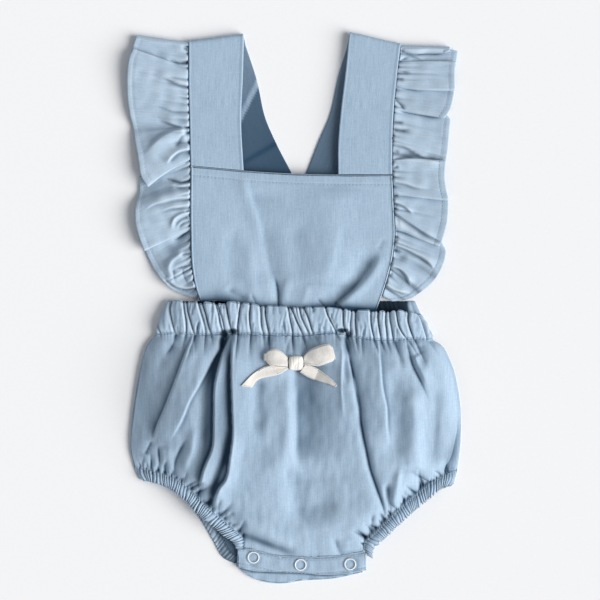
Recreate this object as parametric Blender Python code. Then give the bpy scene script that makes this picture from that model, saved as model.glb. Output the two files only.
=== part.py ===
# Baby romper in cotton chambray, laid flat on its back: ruffled straps that cross at the back,
# a bib, a gathered waist, bloomers with gathered leg holes, a snapped crotch and a tape bow.
#
# Lengths are in millimetres and become metres when a mesh is made. X runs to the right, Y up the
# garment and Z up from the surface it lies on; the origin is on that surface, under the middle.

import math

import bmesh
import bpy
import numpy as np
from mathutils import Vector
from mathutils.bvhtree import BVHTree

MM = 0.001

# Cloth and seams
WALL = 1.2              # sewn chambray, two plies with their seam allowance
RUFFLE_WALL = 1.0       # single ply, hemmed
CASING_WALL = 1.6       # leg casing: two plies round a flat elastic
PLACKET_WALL = 1.3      # crotch plackets: three plies pressed flat
TAPE_WALL = 0.9         # cotton tape of the bow
SEAM = 0.3              # gap that parts two sewn pieces
LAYER = 0.3             # gap between cloth that lies on cloth
RUFFLE_GAP = 0.4        # between a ruffle and the edge it is sewn into

# Heights above the surface
BACK_TOP = 1.2          # top of the back layer
SIDE_SEAM_Z = 1.6       # where the front layer starts at each side
BIB_Z = 7.6             # top face of the bib
SHOULDER_Z = 6.6        # top face of the straps at the shoulder
WAIST_Z = 9.6           # top face of the front waistband at its middle
CROTCH_Z = 5.0          # top face of the front placket
PUFF = 15.0             # how far the bloomer front stands above its edges

# Gathers
WAIST_GATHERS = 38
BACK_WAIST_GATHERS = 30
BLOOMER_PLEATS = 20
LEG_GATHERS = 22
BACK_LEG_GATHERS = 12
WAIST_GATHER_DEPTH = 1.1
BLOOMER_PLEAT_DEPTH = 1.3
LEG_GATHER_DEPTH = 0.7


def table(columns, *rows):
    """Rows of numbers under named columns."""
    return {name: np.array([row[i] for row in rows], float) for i, name in enumerate(columns.split())}


# ---------------------------------------------------------------- outline tables

# Side seams of the bloomers, from waist to leg.
SIDE_LEFT = table("x y",
                  (-110.0, -20.3), (-117.2, -29.0), (-122.4, -45.6), (-127.2, -70.0),
                  (-130.4, -96.0), (-130.8, -112.0), (-127.6, -126.8))
SIDE_RIGHT = table("x y",
                   (110.4, -24.8), (119.2, -27.0), (126.4, -40.0), (131.8, -66.0),
                   (133.6, -92.0), (132.8, -110.0), (130.6, -128.8))

# Front waistband: its top and bottom edges across the garment.
WAIST_FRONT = table("x top bottom",
                    (-110.0, 7.0, -20.0), (-92.0, 5.2, -19.2), (-73.0, 4.2, -20.2), (-52.0, 4.8, -19.4),
                    (-20.0, 1.8, -20.0), (5.0, 0.8, -20.6), (34.0, 0.6, -18.8), (54.0, -1.6, -23.0),
                    (77.0, -2.2, -24.8), (95.0, -2.0, -23.6), (110.4, -4.6, -24.6))
# Each band leans in at its top corners.
WAIST_TOP_INSET = 10.6
BACK_WAIST_INSET = 9.6
BACK_WAIST_TOP = 6.6

# Leg casings: the open edge, the seam to the panel, and the height of the top face.
LEG_FRONT_LEFT = table("edge_x edge_y seam_x seam_y z",
                       (-124.0, -136.0, -127.6, -127.2, 1.6), (-112.0, -138.4, -113.0, -130.2, 6.6),
                       (-99.2, -143.2, -96.4, -135.4, 9.4), (-87.6, -151.6, -82.4, -145.2, 10.6),
                       (-76.4, -163.0, -71.0, -157.0, 10.8), (-64.8, -172.8, -59.4, -166.8, 10.2),
                       (-54.6, -181.4, -48.8, -176.0, 8.4), (-47.0, -188.6, -40.4, -184.6, 5.8))
LEG_FRONT_RIGHT = table("edge_x edge_y seam_x seam_y z",
                        (127.6, -140.4, 130.6, -129.2, 1.6), (119.2, -142.4, 119.6, -133.4, 5.8),
                        (110.4, -148.8, 106.2, -141.4, 8.8), (97.6, -159.2, 92.0, -152.6, 10.4),
                        (84.0, -171.2, 78.0, -165.2, 10.8), (72.0, -183.0, 66.0, -177.2, 9.6),
                        (62.4, -194.2, 55.6, -189.4, 5.8))
LEG_BACK_LEFT = table("edge_x edge_y seam_x seam_y",
                      (-123.6, -136.0, -127.6, -127.2), (-105.6, -141.4, -103.6, -133.6),
                      (-92.0, -148.8, -87.4, -142.0), (-80.8, -160.4, -74.6, -154.8),
                      (-72.8, -171.8, -66.2, -167.0), (-64.6, -185.6, -57.6, -181.6),
                      (-56.4, -199.0, -49.2, -195.2))
LEG_BACK_RIGHT = table("edge_x edge_y seam_x seam_y",
                       (127.0, -139.8, 130.6, -129.2), (118.6, -141.4, 118.8, -132.8),
                       (109.4, -147.6, 105.0, -140.6), (96.4, -158.0, 90.8, -151.6),
                       (82.6, -170.0, 76.8, -164.0), (70.6, -182.0, 64.8, -176.2),
                       (61.6, -194.6, 54.6, -190.0))

# Crotch plackets, left to right: the seam to the panel and the free edge.
PLACKET_FRONT = table("x seam edge",
                      (-45.2, -190.6, -206.2), (-34.0, -192.4, -209.0), (-20.0, -196.2, -210.0),
                      (4.0, -198.6, -210.6), (24.0, -198.4, -212.4), (41.6, -196.8, -211.2),
                      (57.6, -194.0, -208.6))
PLACKET_BACK = table("x seam edge",
                     (-45.6, -199.0, -205.6), (-36.0, -200.0, -213.4), (-21.0, -200.0, -218.6),
                     (-9.6, -200.0, -219.4), (6.0, -200.0, -217.2), (32.0, -200.0, -215.4),
                     (55.0, -198.0, -210.4))

# Bib: top edge, and the bottom edge that is tucked behind the waistband but for an arch at its left.
BIB_TOP = table("x y",
                (-82.4, 114.2), (-61.0, 112.2), (-40.0, 110.4), (0.0, 108.0), (35.0, 107.2), (78.4, 107.2))
BIB_BOTTOM = table("x y",
                   (-74.6, 6.4), (-67.0, 8.8), (-60.6, 9.6), (-53.0, 7.0), (-45.0, 0.0),
                   (-20.0, -3.0), (20.0, -3.6), (64.4, -5.0))

# Outer edge of strap and bib, where each ruffle is sewn in, from shoulder to waist.
RUFFLE_SEAM_LEFT = table("x y",
                         (-84.0, 211.0), (-84.0, 183.0), (-83.2, 151.0), (-82.4, 114.2),
                         (-82.4, 63.0), (-80.8, 31.0), (-78.0, 17.0), (-74.6, 6.4))
RUFFLE_SEAM_RIGHT = table("x y",
                          (84.8, 208.6), (80.8, 176.0), (78.6, 140.0), (78.4, 107.2),
                          (79.2, 87.0), (80.0, 54.0), (78.4, 40.8), (75.2, 27.2), (64.4, -5.0))

# Straps, from the back waist up and over the shoulder to the bib. z is the middle of the wall.
STRAP_LEFT_BACK = table("inner_x inner_y outer_x outer_y z",
                        (48.6, 7.0, 1.0, 7.0, 2.2), (23.0, 58.0, -20.0, 48.0, 2.2),
                        (-1.6, 108.0, -39.6, 88.8, 2.2), (-14.4, 132.8, -53.0, 116.8, 1.2),
                        (-22.4, 151.2, -63.0, 140.0, 0.6), (-30.0, 184.0, -71.0, 174.0, 0.6),
                        (-39.0, 211.6, -80.8, 203.6, 0.6))
STRAP_LEFT_FRONT = table("inner_x inner_y outer_x outer_y z",
                         (-40.0, 216.6, -84.0, 211.0, 6.0), (-40.8, 186.0, -84.0, 183.0, 6.1),
                         (-42.2, 150.0, -83.2, 151.0, 6.5), (-40.2, 110.7, -82.4, 114.5, 7.0))
STRAP_RIGHT_BACK = table("inner_x inner_y outer_x outer_y z",
                         (-40.0, 7.0, 7.0, 7.0, 0.6), (-15.0, 58.0, 27.0, 48.0, 0.6),
                         (9.6, 108.8, 48.0, 93.6, 0.6), (20.8, 136.8, 59.6, 121.6, 0.6),
                         (27.0, 151.0, 67.4, 139.0, 0.6), (36.4, 190.0, 76.8, 180.0, 0.6),
                         (42.8, 210.6, 83.6, 201.0, 0.6))
STRAP_RIGHT_FRONT = table("inner_x inner_y outer_x outer_y z",
                          (44.0, 218.0, 84.8, 208.6, 6.0), (41.6, 193.0, 82.6, 190.0, 6.1),
                          (37.4, 157.6, 79.4, 157.0, 6.4), (35.2, 130.0, 78.4, 130.0, 6.8),
                          (35.2, 107.6, 78.4, 107.6, 7.0))

# Ruffles in front, from shoulder to waist. A row is one line of the cloth from the seam to the hem:
# its height on the seam, where its hem lies, how high, how far it bows off the straight, and how far
# the cloth drops there in one steep step (below 0 it rises).
RUFFLE_LEFT_FRONT = table("seam_y hem_x hem_y hem_z bow drop",
                          (207.0, -126.6, 212.0, 6.2, 0.0, 0.0), (203.0, -128.8, 206.0, 3.8, 0.0, -4.6),
                          (180.0, -132.0, 189.6, 8.4, 0.0, 0.0), (163.2, -133.4, 170.4, 7.6, 0.0, 0.0),
                          (154.0, -131.6, 157.6, 5.4, 0.0, 0.0), (145.6, -128.8, 145.6, 2.6, 0.0, 0.0),
                          (140.0, -128.4, 135.2, 4.6, 2.0, 0.0), (132.8, -127.2, 122.4, 7.4, 3.0, 0.0),
                          (125.0, -124.0, 109.6, 9.0, 4.0, 0.0), (117.0, -120.6, 98.0, 8.8, 4.0, 6.0),
                          (106.0, -124.6, 92.0, 2.0, 2.0, 0.0), (94.0, -126.8, 84.0, 4.2, 1.0, 0.0),
                          (84.8, -128.6, 76.0, 7.0, 1.0, 0.0), (75.2, -127.2, 66.4, 8.6, 2.0, 0.0),
                          (68.0, -124.0, 56.8, 8.8, 3.0, 0.0), (60.6, -120.0, 48.0, 8.2, 3.0, 5.6),
                          (50.0, -117.0, 41.6, 2.0, 1.0, 0.0), (42.0, -114.0, 35.0, 2.8, 0.0, 0.0),
                          (32.8, -109.6, 26.4, 5.2, 0.0, 0.0), (23.2, -103.2, 18.4, 4.2, 0.0, 0.0),
                          (14.0, -94.4, 12.8, 2.4, 0.0, 0.0), (10.0, -84.0, 10.4, 3.6, 0.0, 0.0))
RUFFLE_RIGHT_FRONT = table("seam_y hem_x hem_y hem_z bow drop",
                           (206.0, 130.2, 202.4, 6.4, 0.0, 0.0), (201.0, 129.6, 196.0, 8.2, 0.0, 4.2),
                           (192.0, 128.8, 188.0, 3.2, 0.0, 0.0), (186.0, 128.8, 182.0, 6.4, 0.0, 0.0),
                           (179.0, 128.8, 175.6, 8.2, 0.0, 4.2),
                           (171.0, 126.0, 167.6, 3.4, 0.0, 0.0), (164.8, 123.4, 160.6, 6.6, 0.0, 0.0),
                           (157.6, 120.6, 152.8, 8.4, 0.0, 4.6),
                           (148.6, 123.6, 144.0, 3.0, 0.0, 0.0), (138.0, 122.0, 130.0, 6.8, 0.0, 0.0),
                           (127.6, 119.2, 118.6, 2.6, 0.0, 0.0), (117.6, 120.0, 109.6, 5.4, 0.0, 0.0),
                           (105.8, 121.6, 98.4, 7.4, 0.0, 0.0), (94.6, 122.4, 87.2, 8.2, 0.0, 5.0),
                           (86.0, 123.2, 78.0, 3.4, 0.0, 0.0), (78.0, 121.6, 65.2, 7.0, 1.0, 0.0),
                           (68.6, 119.6, 51.8, 8.8, 2.0, 5.4),
                           (60.0, 121.6, 43.8, 3.2, 2.0, 0.0),
                           (49.0, 118.4, 33.6, 6.6, 3.0, 0.0), (39.0, 112.0, 24.0, 4.8, 3.0, 0.0),
                           (30.6, 104.0, 17.2, 2.6, 2.0, 0.0), (22.6, 93.6, 12.4, 5.2, 1.0, 0.0),
                           (16.0, 82.4, 10.4, 3.6, 0.0, 0.0))
STEP_RUN = 1.6          # how far a steep step runs along the hem
STEP_SEAM = 2.0         # and along the seam

# Ruffles behind, down the outer edge of the back strap to where they run out: place along the strap
# from waist to shoulder, and width.
RUFFLE_BACK = table("along width",
                    (0.5, 6.0), (0.6, 17.0), (0.7, 26.0), (0.85, 35.0), (1.0, 40.0))

# How the bloomer front swells from waist to crotch, as a share of PUFF, and where its rows lie.
BLOOMER_RISE = table("down rise",
                     (0.0, 0.0), (0.05, 0.42), (0.16, 0.78), (0.35, 1.0),
                     (0.6, 0.98), (0.8, 0.74), (0.93, 0.36), (1.0, 0.0))
BLOOMER_ROWS = (0, 0.025, 0.06, 0.1, 0.15, 0.21, 0.28, 0.36, 0.44, 0.53, 0.62, 0.71, 0.79, 0.86, 0.92, 0.965, 1)

# Folds of the bloomer front. A fold is a soft ridge (height above 0) or trough along a curve through
# three points, with its own width on each side. Ends beyond a seam let it run out through the seam.
BLOOMER_FOLDS = table("x1 y1 x2 y2 x3 y3 left right height",
                      (-69, 10, -83, -65, -112, -122, 13, 5, 2.6),      # pleat band at the left
                      (-52, 5, -64, -52, -73, -140, 4, 7, -4.2),        # groove beside it
                      (-56, -28, -58, -73, -64, -118, 5, 5, 1.6),
                      (-49, 8, -50, -65, -60, -150, 4, 15, 2.6),        # left edge of the middle panel
                      (-53, -55, -56, -105, -72, -160, 6, 4, -2.6),
                      (-88, -95, -93, -118, -96, -150, 4, 5, -2.0),
                      (-76, -112, -74, -135, -80, -158, 4, 5, -2.4),
                      (-115, -98, -118, -110, -121, -122, 4, 4, -1.6),
                      (-95, 0, -99, -34, -108, -52, 4, 5, -1.8),
                      (41, 10, 52, -73, 76, -170, 9, 4, -4.4),          # long groove at the right
                      (49, -20, 62, -80, 84, -155, 5, 8, 2.2),
                      (64, -5, 70, -60, 80, -100, 5, 5, -2.0),
                      (92, 0, 95, -47, 110, -78, 5, 5, -2.6),
                      (132, -95, 127, -118, 121, -142, 4, 4, -2.0),
                      (110, -126, 100, -144, 88, -160, 5, 5, -2.4),
                      (63, -150, 61, -172, 65, -188, 4, 5, -2.8),
                      (17, -30, 14, -97, 19, -170, 20, 20, -3.2),       # broad hollow down the middle
                      (-26, -40, -26, -97, -29, -170, 16, 16, 1.6),
                      (36, -70, 41, -135, 41, -190, 11, 9, 1.8),
                      (-44, -176, -26, -187, 4, -198, 5, 5, -2.4))      # drag line to the crotch

# Folds of the bib, in the same columns.
BIB_FOLDS = table("x1 y1 x2 y2 x3 y3 left right height",
                  (-36, 102, -34, 60, -32, 24, 6, 8, 1.4),
                  (-20, 66, -19, 45, -18, 24, 5, 5, -1.2),
                  (-14, 28, -13.5, 16, -13, 2, 4, 4, -1.6),
                  (72, 50, 56, 32, 34, 8, 8, 8, -2.2),
                  (62, 54, 46, 36, 26, 14, 8, 8, 1.2),
                  (20, 60, 12, 40, 8, 16, 12, 12, -1.0))

# Snap rings on the crotch placket.
SNAPS = table("x y", (-32.4, -198.4), (5.2, -204.2), (44.8, -203.7))
RING_OUTER = 4.75
RING_INNER = 3.25
RING_HEIGHT = 1.1
RING_STEPS = 20

# Bow of cotton tape: sections from the knot to the end, upper and lower side; open is how far the
# loop's two layers stand apart.
BOW_LOOP_LEFT = table("upper_x upper_y lower_x lower_y open",
                      (-5.0, -38.5, -5.0, -46.0, 1.8), (-10.0, -34.0, -12.0, -47.0, 3.4),
                      (-16.0, -31.5, -19.0, -44.0, 4.2), (-21.5, -33.5, -22.4, -40.5, 2.8))
BOW_LOOP_RIGHT = table("upper_x upper_y lower_x lower_y open",
                       (8.2, -37.4, 8.2, -47.6, 1.8), (14.6, -32.6, 14.0, -47.2, 3.4),
                       (21.6, -28.6, 20.0, -45.6, 4.4), (27.4, -27.6, 27.4, -43.0, 4.0),
                       (32.2, -34.0, 31.6, -40.8, 2.8))
BOW_TAIL_LEFT = table("upper_x upper_y lower_x lower_y",
                      (-5.4, -47.0, -3.4, -50.8), (-20.8, -44.6, -8.0, -52.6),
                      (-29.6, -50.4, -26.0, -55.6), (-42.0, -60.8, -33.6, -62.4))
BOW_TAIL_RIGHT = table("upper_x upper_y lower_x lower_y",
                       (8.6, -46.4, 5.8, -51.0), (17.0, -46.8, 13.5, -55.5),
                       (30.6, -55.8, 24.0, -58.5), (34.4, -60.0, 32.5, -61.5))
KNOT_X, KNOT_Y = 1.6, -42.8
KNOT_HALF_WIDTH = 6.0
KNOT_HALF_LENGTH = 6.0
KNOT_EDGE = 2.8         # height of the knot at its sides
KNOT_DOME = 2.2         # and how much higher its middle is
REST_ROOM = 2.5         # how far around a point the bow keeps clear of the cloth below


# ---------------------------------------------------------------- curves and patches

def smooth(at, knots, values):
    """Cubic curve through values at knots, read at each place in at."""
    slopes = np.gradient(values, knots, axis=0)
    i = np.clip(np.searchsorted(knots, at, side="right") - 1, 0, len(knots) - 2)
    span = knots[i + 1] - knots[i]
    t = (at - knots[i]) / span
    shape = t.shape + (1,) * (values.ndim - 1)
    t, span = t.reshape(shape), span.reshape(shape)
    return ((2 * t**3 - 3 * t**2 + 1) * values[i] + (t**3 - 2 * t**2 + t) * span * slopes[i]
            + (3 * t**2 - 2 * t**3) * values[i + 1] + (t**3 - t**2) * span * slopes[i + 1])


def path(rows, *columns):
    """Function from 0..1 to a point on the smooth curve through a table's rows."""
    values = np.stack([rows[name] for name in columns], axis=1)
    steps = np.linalg.norm(np.diff(values[:, :2], axis=0), axis=1)
    knots = np.concatenate([[0.0], np.cumsum(steps)]) / steps.sum()
    return lambda at: smooth(np.asarray(at, float), knots, values)


def chain(*stretches):
    """One curve from (start, end, curve) stretches, each curve run from its 0 to its 1."""
    def curve(at):
        at = np.asarray(at, float)
        first = stretches[0][2](np.clip(at, 0, 1))
        out = np.zeros_like(first)
        for start, end, part in stretches:
            inside = (at >= start) & (at <= end)
            out[inside] = part(np.clip((at[inside] - start) / (end - start), 0, 1))
        return out
    return curve


def coons(top, bottom, left, right, u, v, hold=1):
    """Patch inside four edge curves; top and bottom run along u, left and right along v. The bulge
    of the sides dies out towards the middle, faster with a higher hold."""
    u3, v3 = u[..., None], v[..., None]
    zero, one = np.zeros_like(v), np.ones_like(v)
    left_bulge = left(v) - (1 - v3) * left(zero) - v3 * left(one)
    right_bulge = right(v) - (1 - v3) * right(zero) - v3 * right(one)
    return (1 - v3) * top(u) + v3 * bottom(u) + (1 - u3) ** hold * left_bulge + u3 ** hold * right_bulge


def grid(columns, rows):
    """u and v of a grid, rows down and columns across."""
    return np.meshgrid(np.asarray(columns, float), np.asarray(rows, float))


def spread(u, pull):
    """Places from 0 to 1, drawn towards both ends."""
    return u - pull * np.sin(2 * math.pi * u) / (2 * math.pi)


def bulge(s, power):
    """Cross-section of a filled tube that lies flat: 0 at the sides, 1 over the middle."""
    return (1 - np.abs(2 * s - 1) ** power) ** (1 / power)


def gather_phase(u, count, seed):
    """Number of gathers up to u, unevenly spaced."""
    return count * (u + 0.0095 * np.sin(2 * math.pi * (3.1 * u + 0.13 * seed))
                    + 0.0058 * np.sin(2 * math.pi * (7.3 * u + 0.37 * seed)))


def gather_columns(count, steps_each, seed):
    """Places from 0 to 1 that catch each gather's crest and trough."""
    fine = np.linspace(0, 1, 4000)
    phase = gather_phase(fine, count, seed)
    return np.interp(np.linspace(phase[0], phase[-1], count * steps_each + 1), phase, fine)


def fold_height(points, folds):
    """Sum of all folds at each point of the plan."""
    total = np.zeros(points.shape[:-1])
    t = np.linspace(0, 1, 41)
    for x1, y1, x2, y2, x3, y3, left, right, height in zip(*folds.values()):
        line = (np.outer((1 - t) * (1 - 2 * t), (x1, y1)) + np.outer(4 * t * (1 - t), (x2, y2))
                + np.outer(t * (2 * t - 1), (x3, y3)))
        away = points[..., None, :2] - line
        nearest = np.argmin((away**2).sum(-1), axis=-1)
        offset = np.take_along_axis(away, nearest[..., None, None], axis=-2)[..., 0, :]
        along = np.gradient(line, axis=0)[nearest]
        side = along[..., 0] * offset[..., 1] - along[..., 1] * offset[..., 0]
        width = np.where(side > 0, right, left)
        fade = 1 - (2 * t[nearest] - 1) ** 4
        total += height * fade * np.exp(-((offset**2).sum(-1)) / width**2)
    return total


# ---------------------------------------------------------------- solids

def material(name, colour, roughness):
    made = bpy.data.materials.new(name)
    made.use_nodes = True
    shader = made.node_tree.nodes["Principled BSDF"]
    shader.inputs["Base Color"].default_value = (*colour, 1)
    shader.inputs["Roughness"].default_value = roughness
    shader.inputs["Metallic"].default_value = 0
    return made


def placed(name, mesh, x=0.0, y=0.0, z=0.0):
    made = bpy.data.objects.new(name, mesh)
    made.location = (x * MM, y * MM, z * MM)
    bpy.context.scene.collection.objects.link(made)
    return made


def solid(name, points, faces, finish):
    """Closed mesh object with its faces pointing out."""
    mesh = bpy.data.meshes.new(name)
    mesh.from_pydata([tuple(p * MM) for p in points], [], faces)
    shape = bmesh.new()
    shape.from_mesh(mesh)
    bmesh.ops.recalc_face_normals(shape, faces=shape.faces)
    shape.to_mesh(mesh)
    shape.free()
    mesh.shade_smooth()
    mesh.set_sharp_from_angle(angle=math.radians(50))
    mesh.materials.append(finish)
    return placed(name, mesh)


def wall(name, face, back, finish):
    """Cloth between two matching grids of points."""
    rows, columns = face.shape[:2]
    number = np.arange(rows * columns).reshape(rows, columns)
    faces = []
    for j in range(rows - 1):
        for i in range(columns - 1):
            a, b, c, d = map(int, [number[j, i], number[j, i + 1], number[j + 1, i + 1], number[j + 1, i]])
            faces += [(a, b, c), (a, c, d)]
    under = rows * columns
    faces += [tuple(n + under for n in reversed(f)) for f in faces]
    rim = [*number[0, :-1], *number[:-1, -1], *number[-1, :0:-1], *number[:0:-1, 0]]
    for a, b in zip(rim, rim[1:] + rim[:1]):
        a, b = int(a), int(b)
        faces += [(b, a, a + under), (b, a + under, b + under)]
    return solid(name, np.concatenate([face.reshape(-1, 3), back.reshape(-1, 3)]), faces, finish)


def slab(name, outline, thickness, finish):
    """Flat cloth on the surface, cut to an outline."""
    count = len(outline)
    low = np.column_stack([outline, np.zeros(count)])
    high = np.column_stack([outline, np.full(count, thickness)])
    faces = [tuple(range(count)), tuple(range(2 * count - 1, count - 1, -1))]
    for i in range(count):
        j = (i + 1) % count
        faces.append((i, j, j + count, i + count))
    return solid(name, np.concatenate([low, high]), faces, finish)


def with_height(plan, z):
    return np.concatenate([plan, z[..., None]], axis=-1)


def side_lean(s):
    """Direction a front layer's wall faces: sideways at the side seams, up over the middle."""
    from_edge = np.minimum(s, 1 - s) / 0.06
    angle = 0.5 * math.pi * np.sqrt(np.clip(from_edge, 0, 1))
    outward = np.where(s < 0.5, -1.0, 1.0)
    return np.stack([outward * np.cos(angle), np.zeros_like(s), np.sin(angle)], axis=-1)


def surface_normals(points):
    """Normal of a grid of points at each of them."""
    across = np.gradient(points, axis=1)
    down = np.gradient(points, axis=0)
    normal = np.cross(across, down)
    return normal / np.linalg.norm(normal, axis=-1, keepdims=True)


def sheet(name, middle, thickness, finish):
    """Cloth of even thickness about a grid of points, for pieces that bend over. Nothing reaches
    below the surface it lies on."""
    shift = surface_normals(middle) * thickness / 2
    face, back = middle + shift, middle - shift
    for side in (face, back):
        side[..., 2] = np.maximum(side[..., 2], 0)
    return wall(name, face, back, finish)


# ---------------------------------------------------------------- shared edges

def waist_height(s):
    return SIDE_SEAM_Z + (WAIST_Z - SIDE_SEAM_Z) * bulge(s, 4)


def stretch(curve, start, end):
    """Part of a curve, run from 0 to 1."""
    return lambda at: curve(start + (end - start) * np.asarray(at, float))


def lifted(rows, column, shift, *names):
    """Path through a table's columns with one of them moved by a gap."""
    return path({**rows, column: rows[column] + shift}, *names)


LEG_SHARE = 0.35        # share of the panel's lower edge that each leg takes
CASING_REACH = 0.985    # share of the leg's seam that its front casing covers, short of the crotch
CORNER = 0.006          # and how soon after a leg the crotch seam is reached
CROTCH_REACH = (0.052, 0.978)           # stretch of the placket's seam that the front panel meets
STRAP_PLACES = np.linspace(0, 1, 11)    # sections of a strap from waist to shoulder

waist_seam = lifted(WAIST_FRONT, "bottom", -SEAM, "x", "bottom")
placket_seam = path({**PLACKET_FRONT, "z": np.full(7, CROTCH_Z)}, "x", "seam", "z")
front_hem = chain((0, LEG_SHARE, path(LEG_FRONT_LEFT, "seam_x", "seam_y", "z")),
                  (LEG_SHARE, 1 - LEG_SHARE, stretch(placket_seam, *CROTCH_REACH)),
                  (1 - LEG_SHARE, 1, stretch(path(LEG_FRONT_RIGHT, "seam_x", "seam_y", "z"), 1, 0)))


# ---------------------------------------------------------------- pieces

def bloomer_front(finish):
    columns = gather_columns(BLOOMER_PLEATS, 3, 2)
    corners = np.interp([LEG_SHARE, LEG_SHARE + CORNER, 1 - LEG_SHARE - CORNER, 1 - LEG_SHARE],
                        spread(columns, 0.7), columns)
    near = np.abs(columns[:, None] - corners).min(axis=1) < 0.35 / len(columns)
    columns = np.sort(np.append(columns[~near], corners))
    u, v = grid(columns, BLOOMER_ROWS)
    s = spread(u, 0.7)
    plan = coons(waist_seam, lambda at: front_hem(at)[..., :2],
                 path(SIDE_LEFT, "x", "y"), path(SIDE_RIGHT, "x", "y"), s, v, hold=4)
    rise = smooth(v, BLOOMER_RISE["down"], BLOOMER_RISE["rise"])
    z = (1 - v) * waist_height(s) + v * front_hem(s)[..., 2] + PUFF * rise * bulge(s, 2.6)
    inside = bulge(s, 6)
    pleats = np.cos(2 * math.pi * gather_phase(u, BLOOMER_PLEATS, 2)) * BLOOMER_PLEAT_DEPTH * inside
    lift = pleats * (np.exp(-v / 0.13) + 0.7 * np.exp(-(1 - v) / 0.07))
    lift += fold_height(plan, BLOOMER_FOLDS) * inside * np.minimum(1, 0.3 + 6 * np.minimum(v, 1 - v))
    lean = side_lean(s)
    face = with_height(plan, z) + lean * lift[..., None]
    return wall("bloomer_front", face, face - lean * WALL, finish)


def leg_casing(name, rows, seed, side, finish):
    """Front leg casing: a gathered, padded band along the open edge."""
    columns = gather_columns(LEG_GATHERS, 3, seed)
    width = np.hypot(rows["edge_x"] - rows["seam_x"], rows["edge_y"] - rows["seam_y"]).mean()
    u, w = grid(columns * CASING_REACH, [SEAM / width, 0.5, 1])
    seam = path(rows, "seam_x", "seam_y", "z")(u)
    edge = path(rows, "edge_x", "edge_y", "z")(u)
    face = seam + (edge - seam) * w[..., None]
    crown = 1 - (2 * w - 1) ** 2
    gathers = np.cos(2 * math.pi * gather_phase(u, LEG_GATHERS, seed)) * LEG_GATHER_DEPTH
    lift = (0.9 * crown + gathers * (0.6 + 0.4 * crown)) * np.clip(u / 0.06, 0, 1)
    lean = side_lean(u / 2) * np.array([-side, 1.0, 1.0])
    return wall(name, face + lean * lift[..., None], face - lean * CASING_WALL, finish)


def back_leg_casing(name, rows, seed, finish):
    """Back leg casing: flat below, gathered on top."""
    columns = gather_columns(BACK_LEG_GATHERS, 3, seed)
    width = np.hypot(rows["edge_x"] - rows["seam_x"], rows["edge_y"] - rows["seam_y"]).mean()
    u, w = grid(columns, [SEAM / width, 0.5, 1])
    seam = path(rows, "seam_x", "seam_y")(u)
    plan = seam + (path(rows, "edge_x", "edge_y")(u) - seam) * w[..., None]
    crown = 1 - (2 * w - 1) ** 2
    gathers = np.cos(2 * math.pi * gather_phase(u, BACK_LEG_GATHERS, seed))
    fade = np.clip((u - 0.04) / 0.08, 0, 1) * np.clip((1 - u) / 0.08, 0, 1)
    z = BACK_TOP + (0.4 * crown + 0.3 * gathers) * fade
    return wall(name, with_height(plan, z), with_height(plan, np.zeros_like(z)), finish)


def bloomer_back(finish):
    """Back panel, flat on the surface, cut to the same side seams and the back leg holes."""
    steps = np.linspace(0, 1, 22)
    crotch = path(PLACKET_BACK, "x", "edge")
    top = lifted(WAIST_FRONT, "bottom", -SEAM, "x", "bottom")
    outline = [top(steps), path(SIDE_RIGHT, "x", "y")(np.linspace(0, 1, 12))[1:],
               path(LEG_BACK_RIGHT, "seam_x", "seam_y")(steps)[1:], crotch(np.linspace(1, 0, 18)),
               path(LEG_BACK_LEFT, "seam_x", "seam_y")(steps[::-1])[:-1],
               path(SIDE_LEFT, "x", "y")(np.linspace(1, 0, 12))[:-1]]
    return slab("bloomer_back", np.concatenate(outline), BACK_TOP, finish)


def waistband_front(finish):
    columns = gather_columns(WAIST_GATHERS, 3, 1)
    u, w = grid(columns, [0, 0.3, 0.72, 1])
    s = spread(u, 0.4)
    top, bottom = path(WAIST_FRONT, "x", "top")(s), path(WAIST_FRONT, "x", "bottom")(s)
    top[..., 0] *= 1 - WAIST_TOP_INSET / WAIST_FRONT["x"].max()
    plan = top + (bottom - top) * w[..., None]
    slant = 0.25 * np.sin(2 * math.pi * 2.3 * u + 0.6)
    gathers = np.cos(2 * math.pi * (gather_phase(u, WAIST_GATHERS, 1) + slant * w))
    inside = np.clip(bulge(s, 6) * 1.2, 0, 1)
    lift = (WAIST_GATHER_DEPTH * gathers + 1.1 * (1 - (2 * w - 1) ** 2)) * inside
    plan[..., 1] += np.where(w == 0, 0.7 * gathers * inside, 0)
    lean = side_lean(s)
    base = with_height(plan, waist_height(s))
    return wall("waistband_front", base + lean * (lift + 0.3)[..., None], base - lean * WALL, finish)


def waistband_back(finish):
    columns = gather_columns(BACK_WAIST_GATHERS, 2, 4)
    u, w = grid(columns, [0, 0.5, 1])
    bottom = path(WAIST_FRONT, "x", "bottom")(u)
    x = bottom[..., 0] * (1 - (1 - w) * BACK_WAIST_INSET / WAIST_FRONT["x"].max())
    y = BACK_WAIST_TOP + (bottom[..., 1] - BACK_WAIST_TOP) * w
    gathers = np.cos(2 * math.pi * gather_phase(u, BACK_WAIST_GATHERS, 4))
    fade = np.clip(np.minimum(u, 1 - u) / 0.05, 0, 1)
    z = BACK_TOP + (0.35 + 0.35 * gathers) * fade
    plan = np.stack([x, y], axis=-1)
    return wall("waistband_back", with_height(plan, z), with_height(plan, np.zeros_like(z)), finish)


def placket(name, rows, top, finish):
    u, w = grid(np.linspace(0, 1, 17), [0, 0.5, 1])
    seam, edge = path(rows, "x", "seam")(u), path(rows, "x", "edge")(u)
    seam = seam - np.array([0, SEAM])
    plan = seam + (edge - seam) * w[..., None]
    face = with_height(plan, np.full(u.shape, top))
    return wall(name, face, face - np.array([0, 0, PLACKET_WALL]), finish)


def below(rows, y):
    """Smooth curve through a table's x and y, from a height down to its end."""
    curve, at = path(rows, "x", "y"), np.linspace(0, 1, 2000)
    return stretch(curve, np.interp(-y, -curve(at)[:, 1], at), 1)


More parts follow.
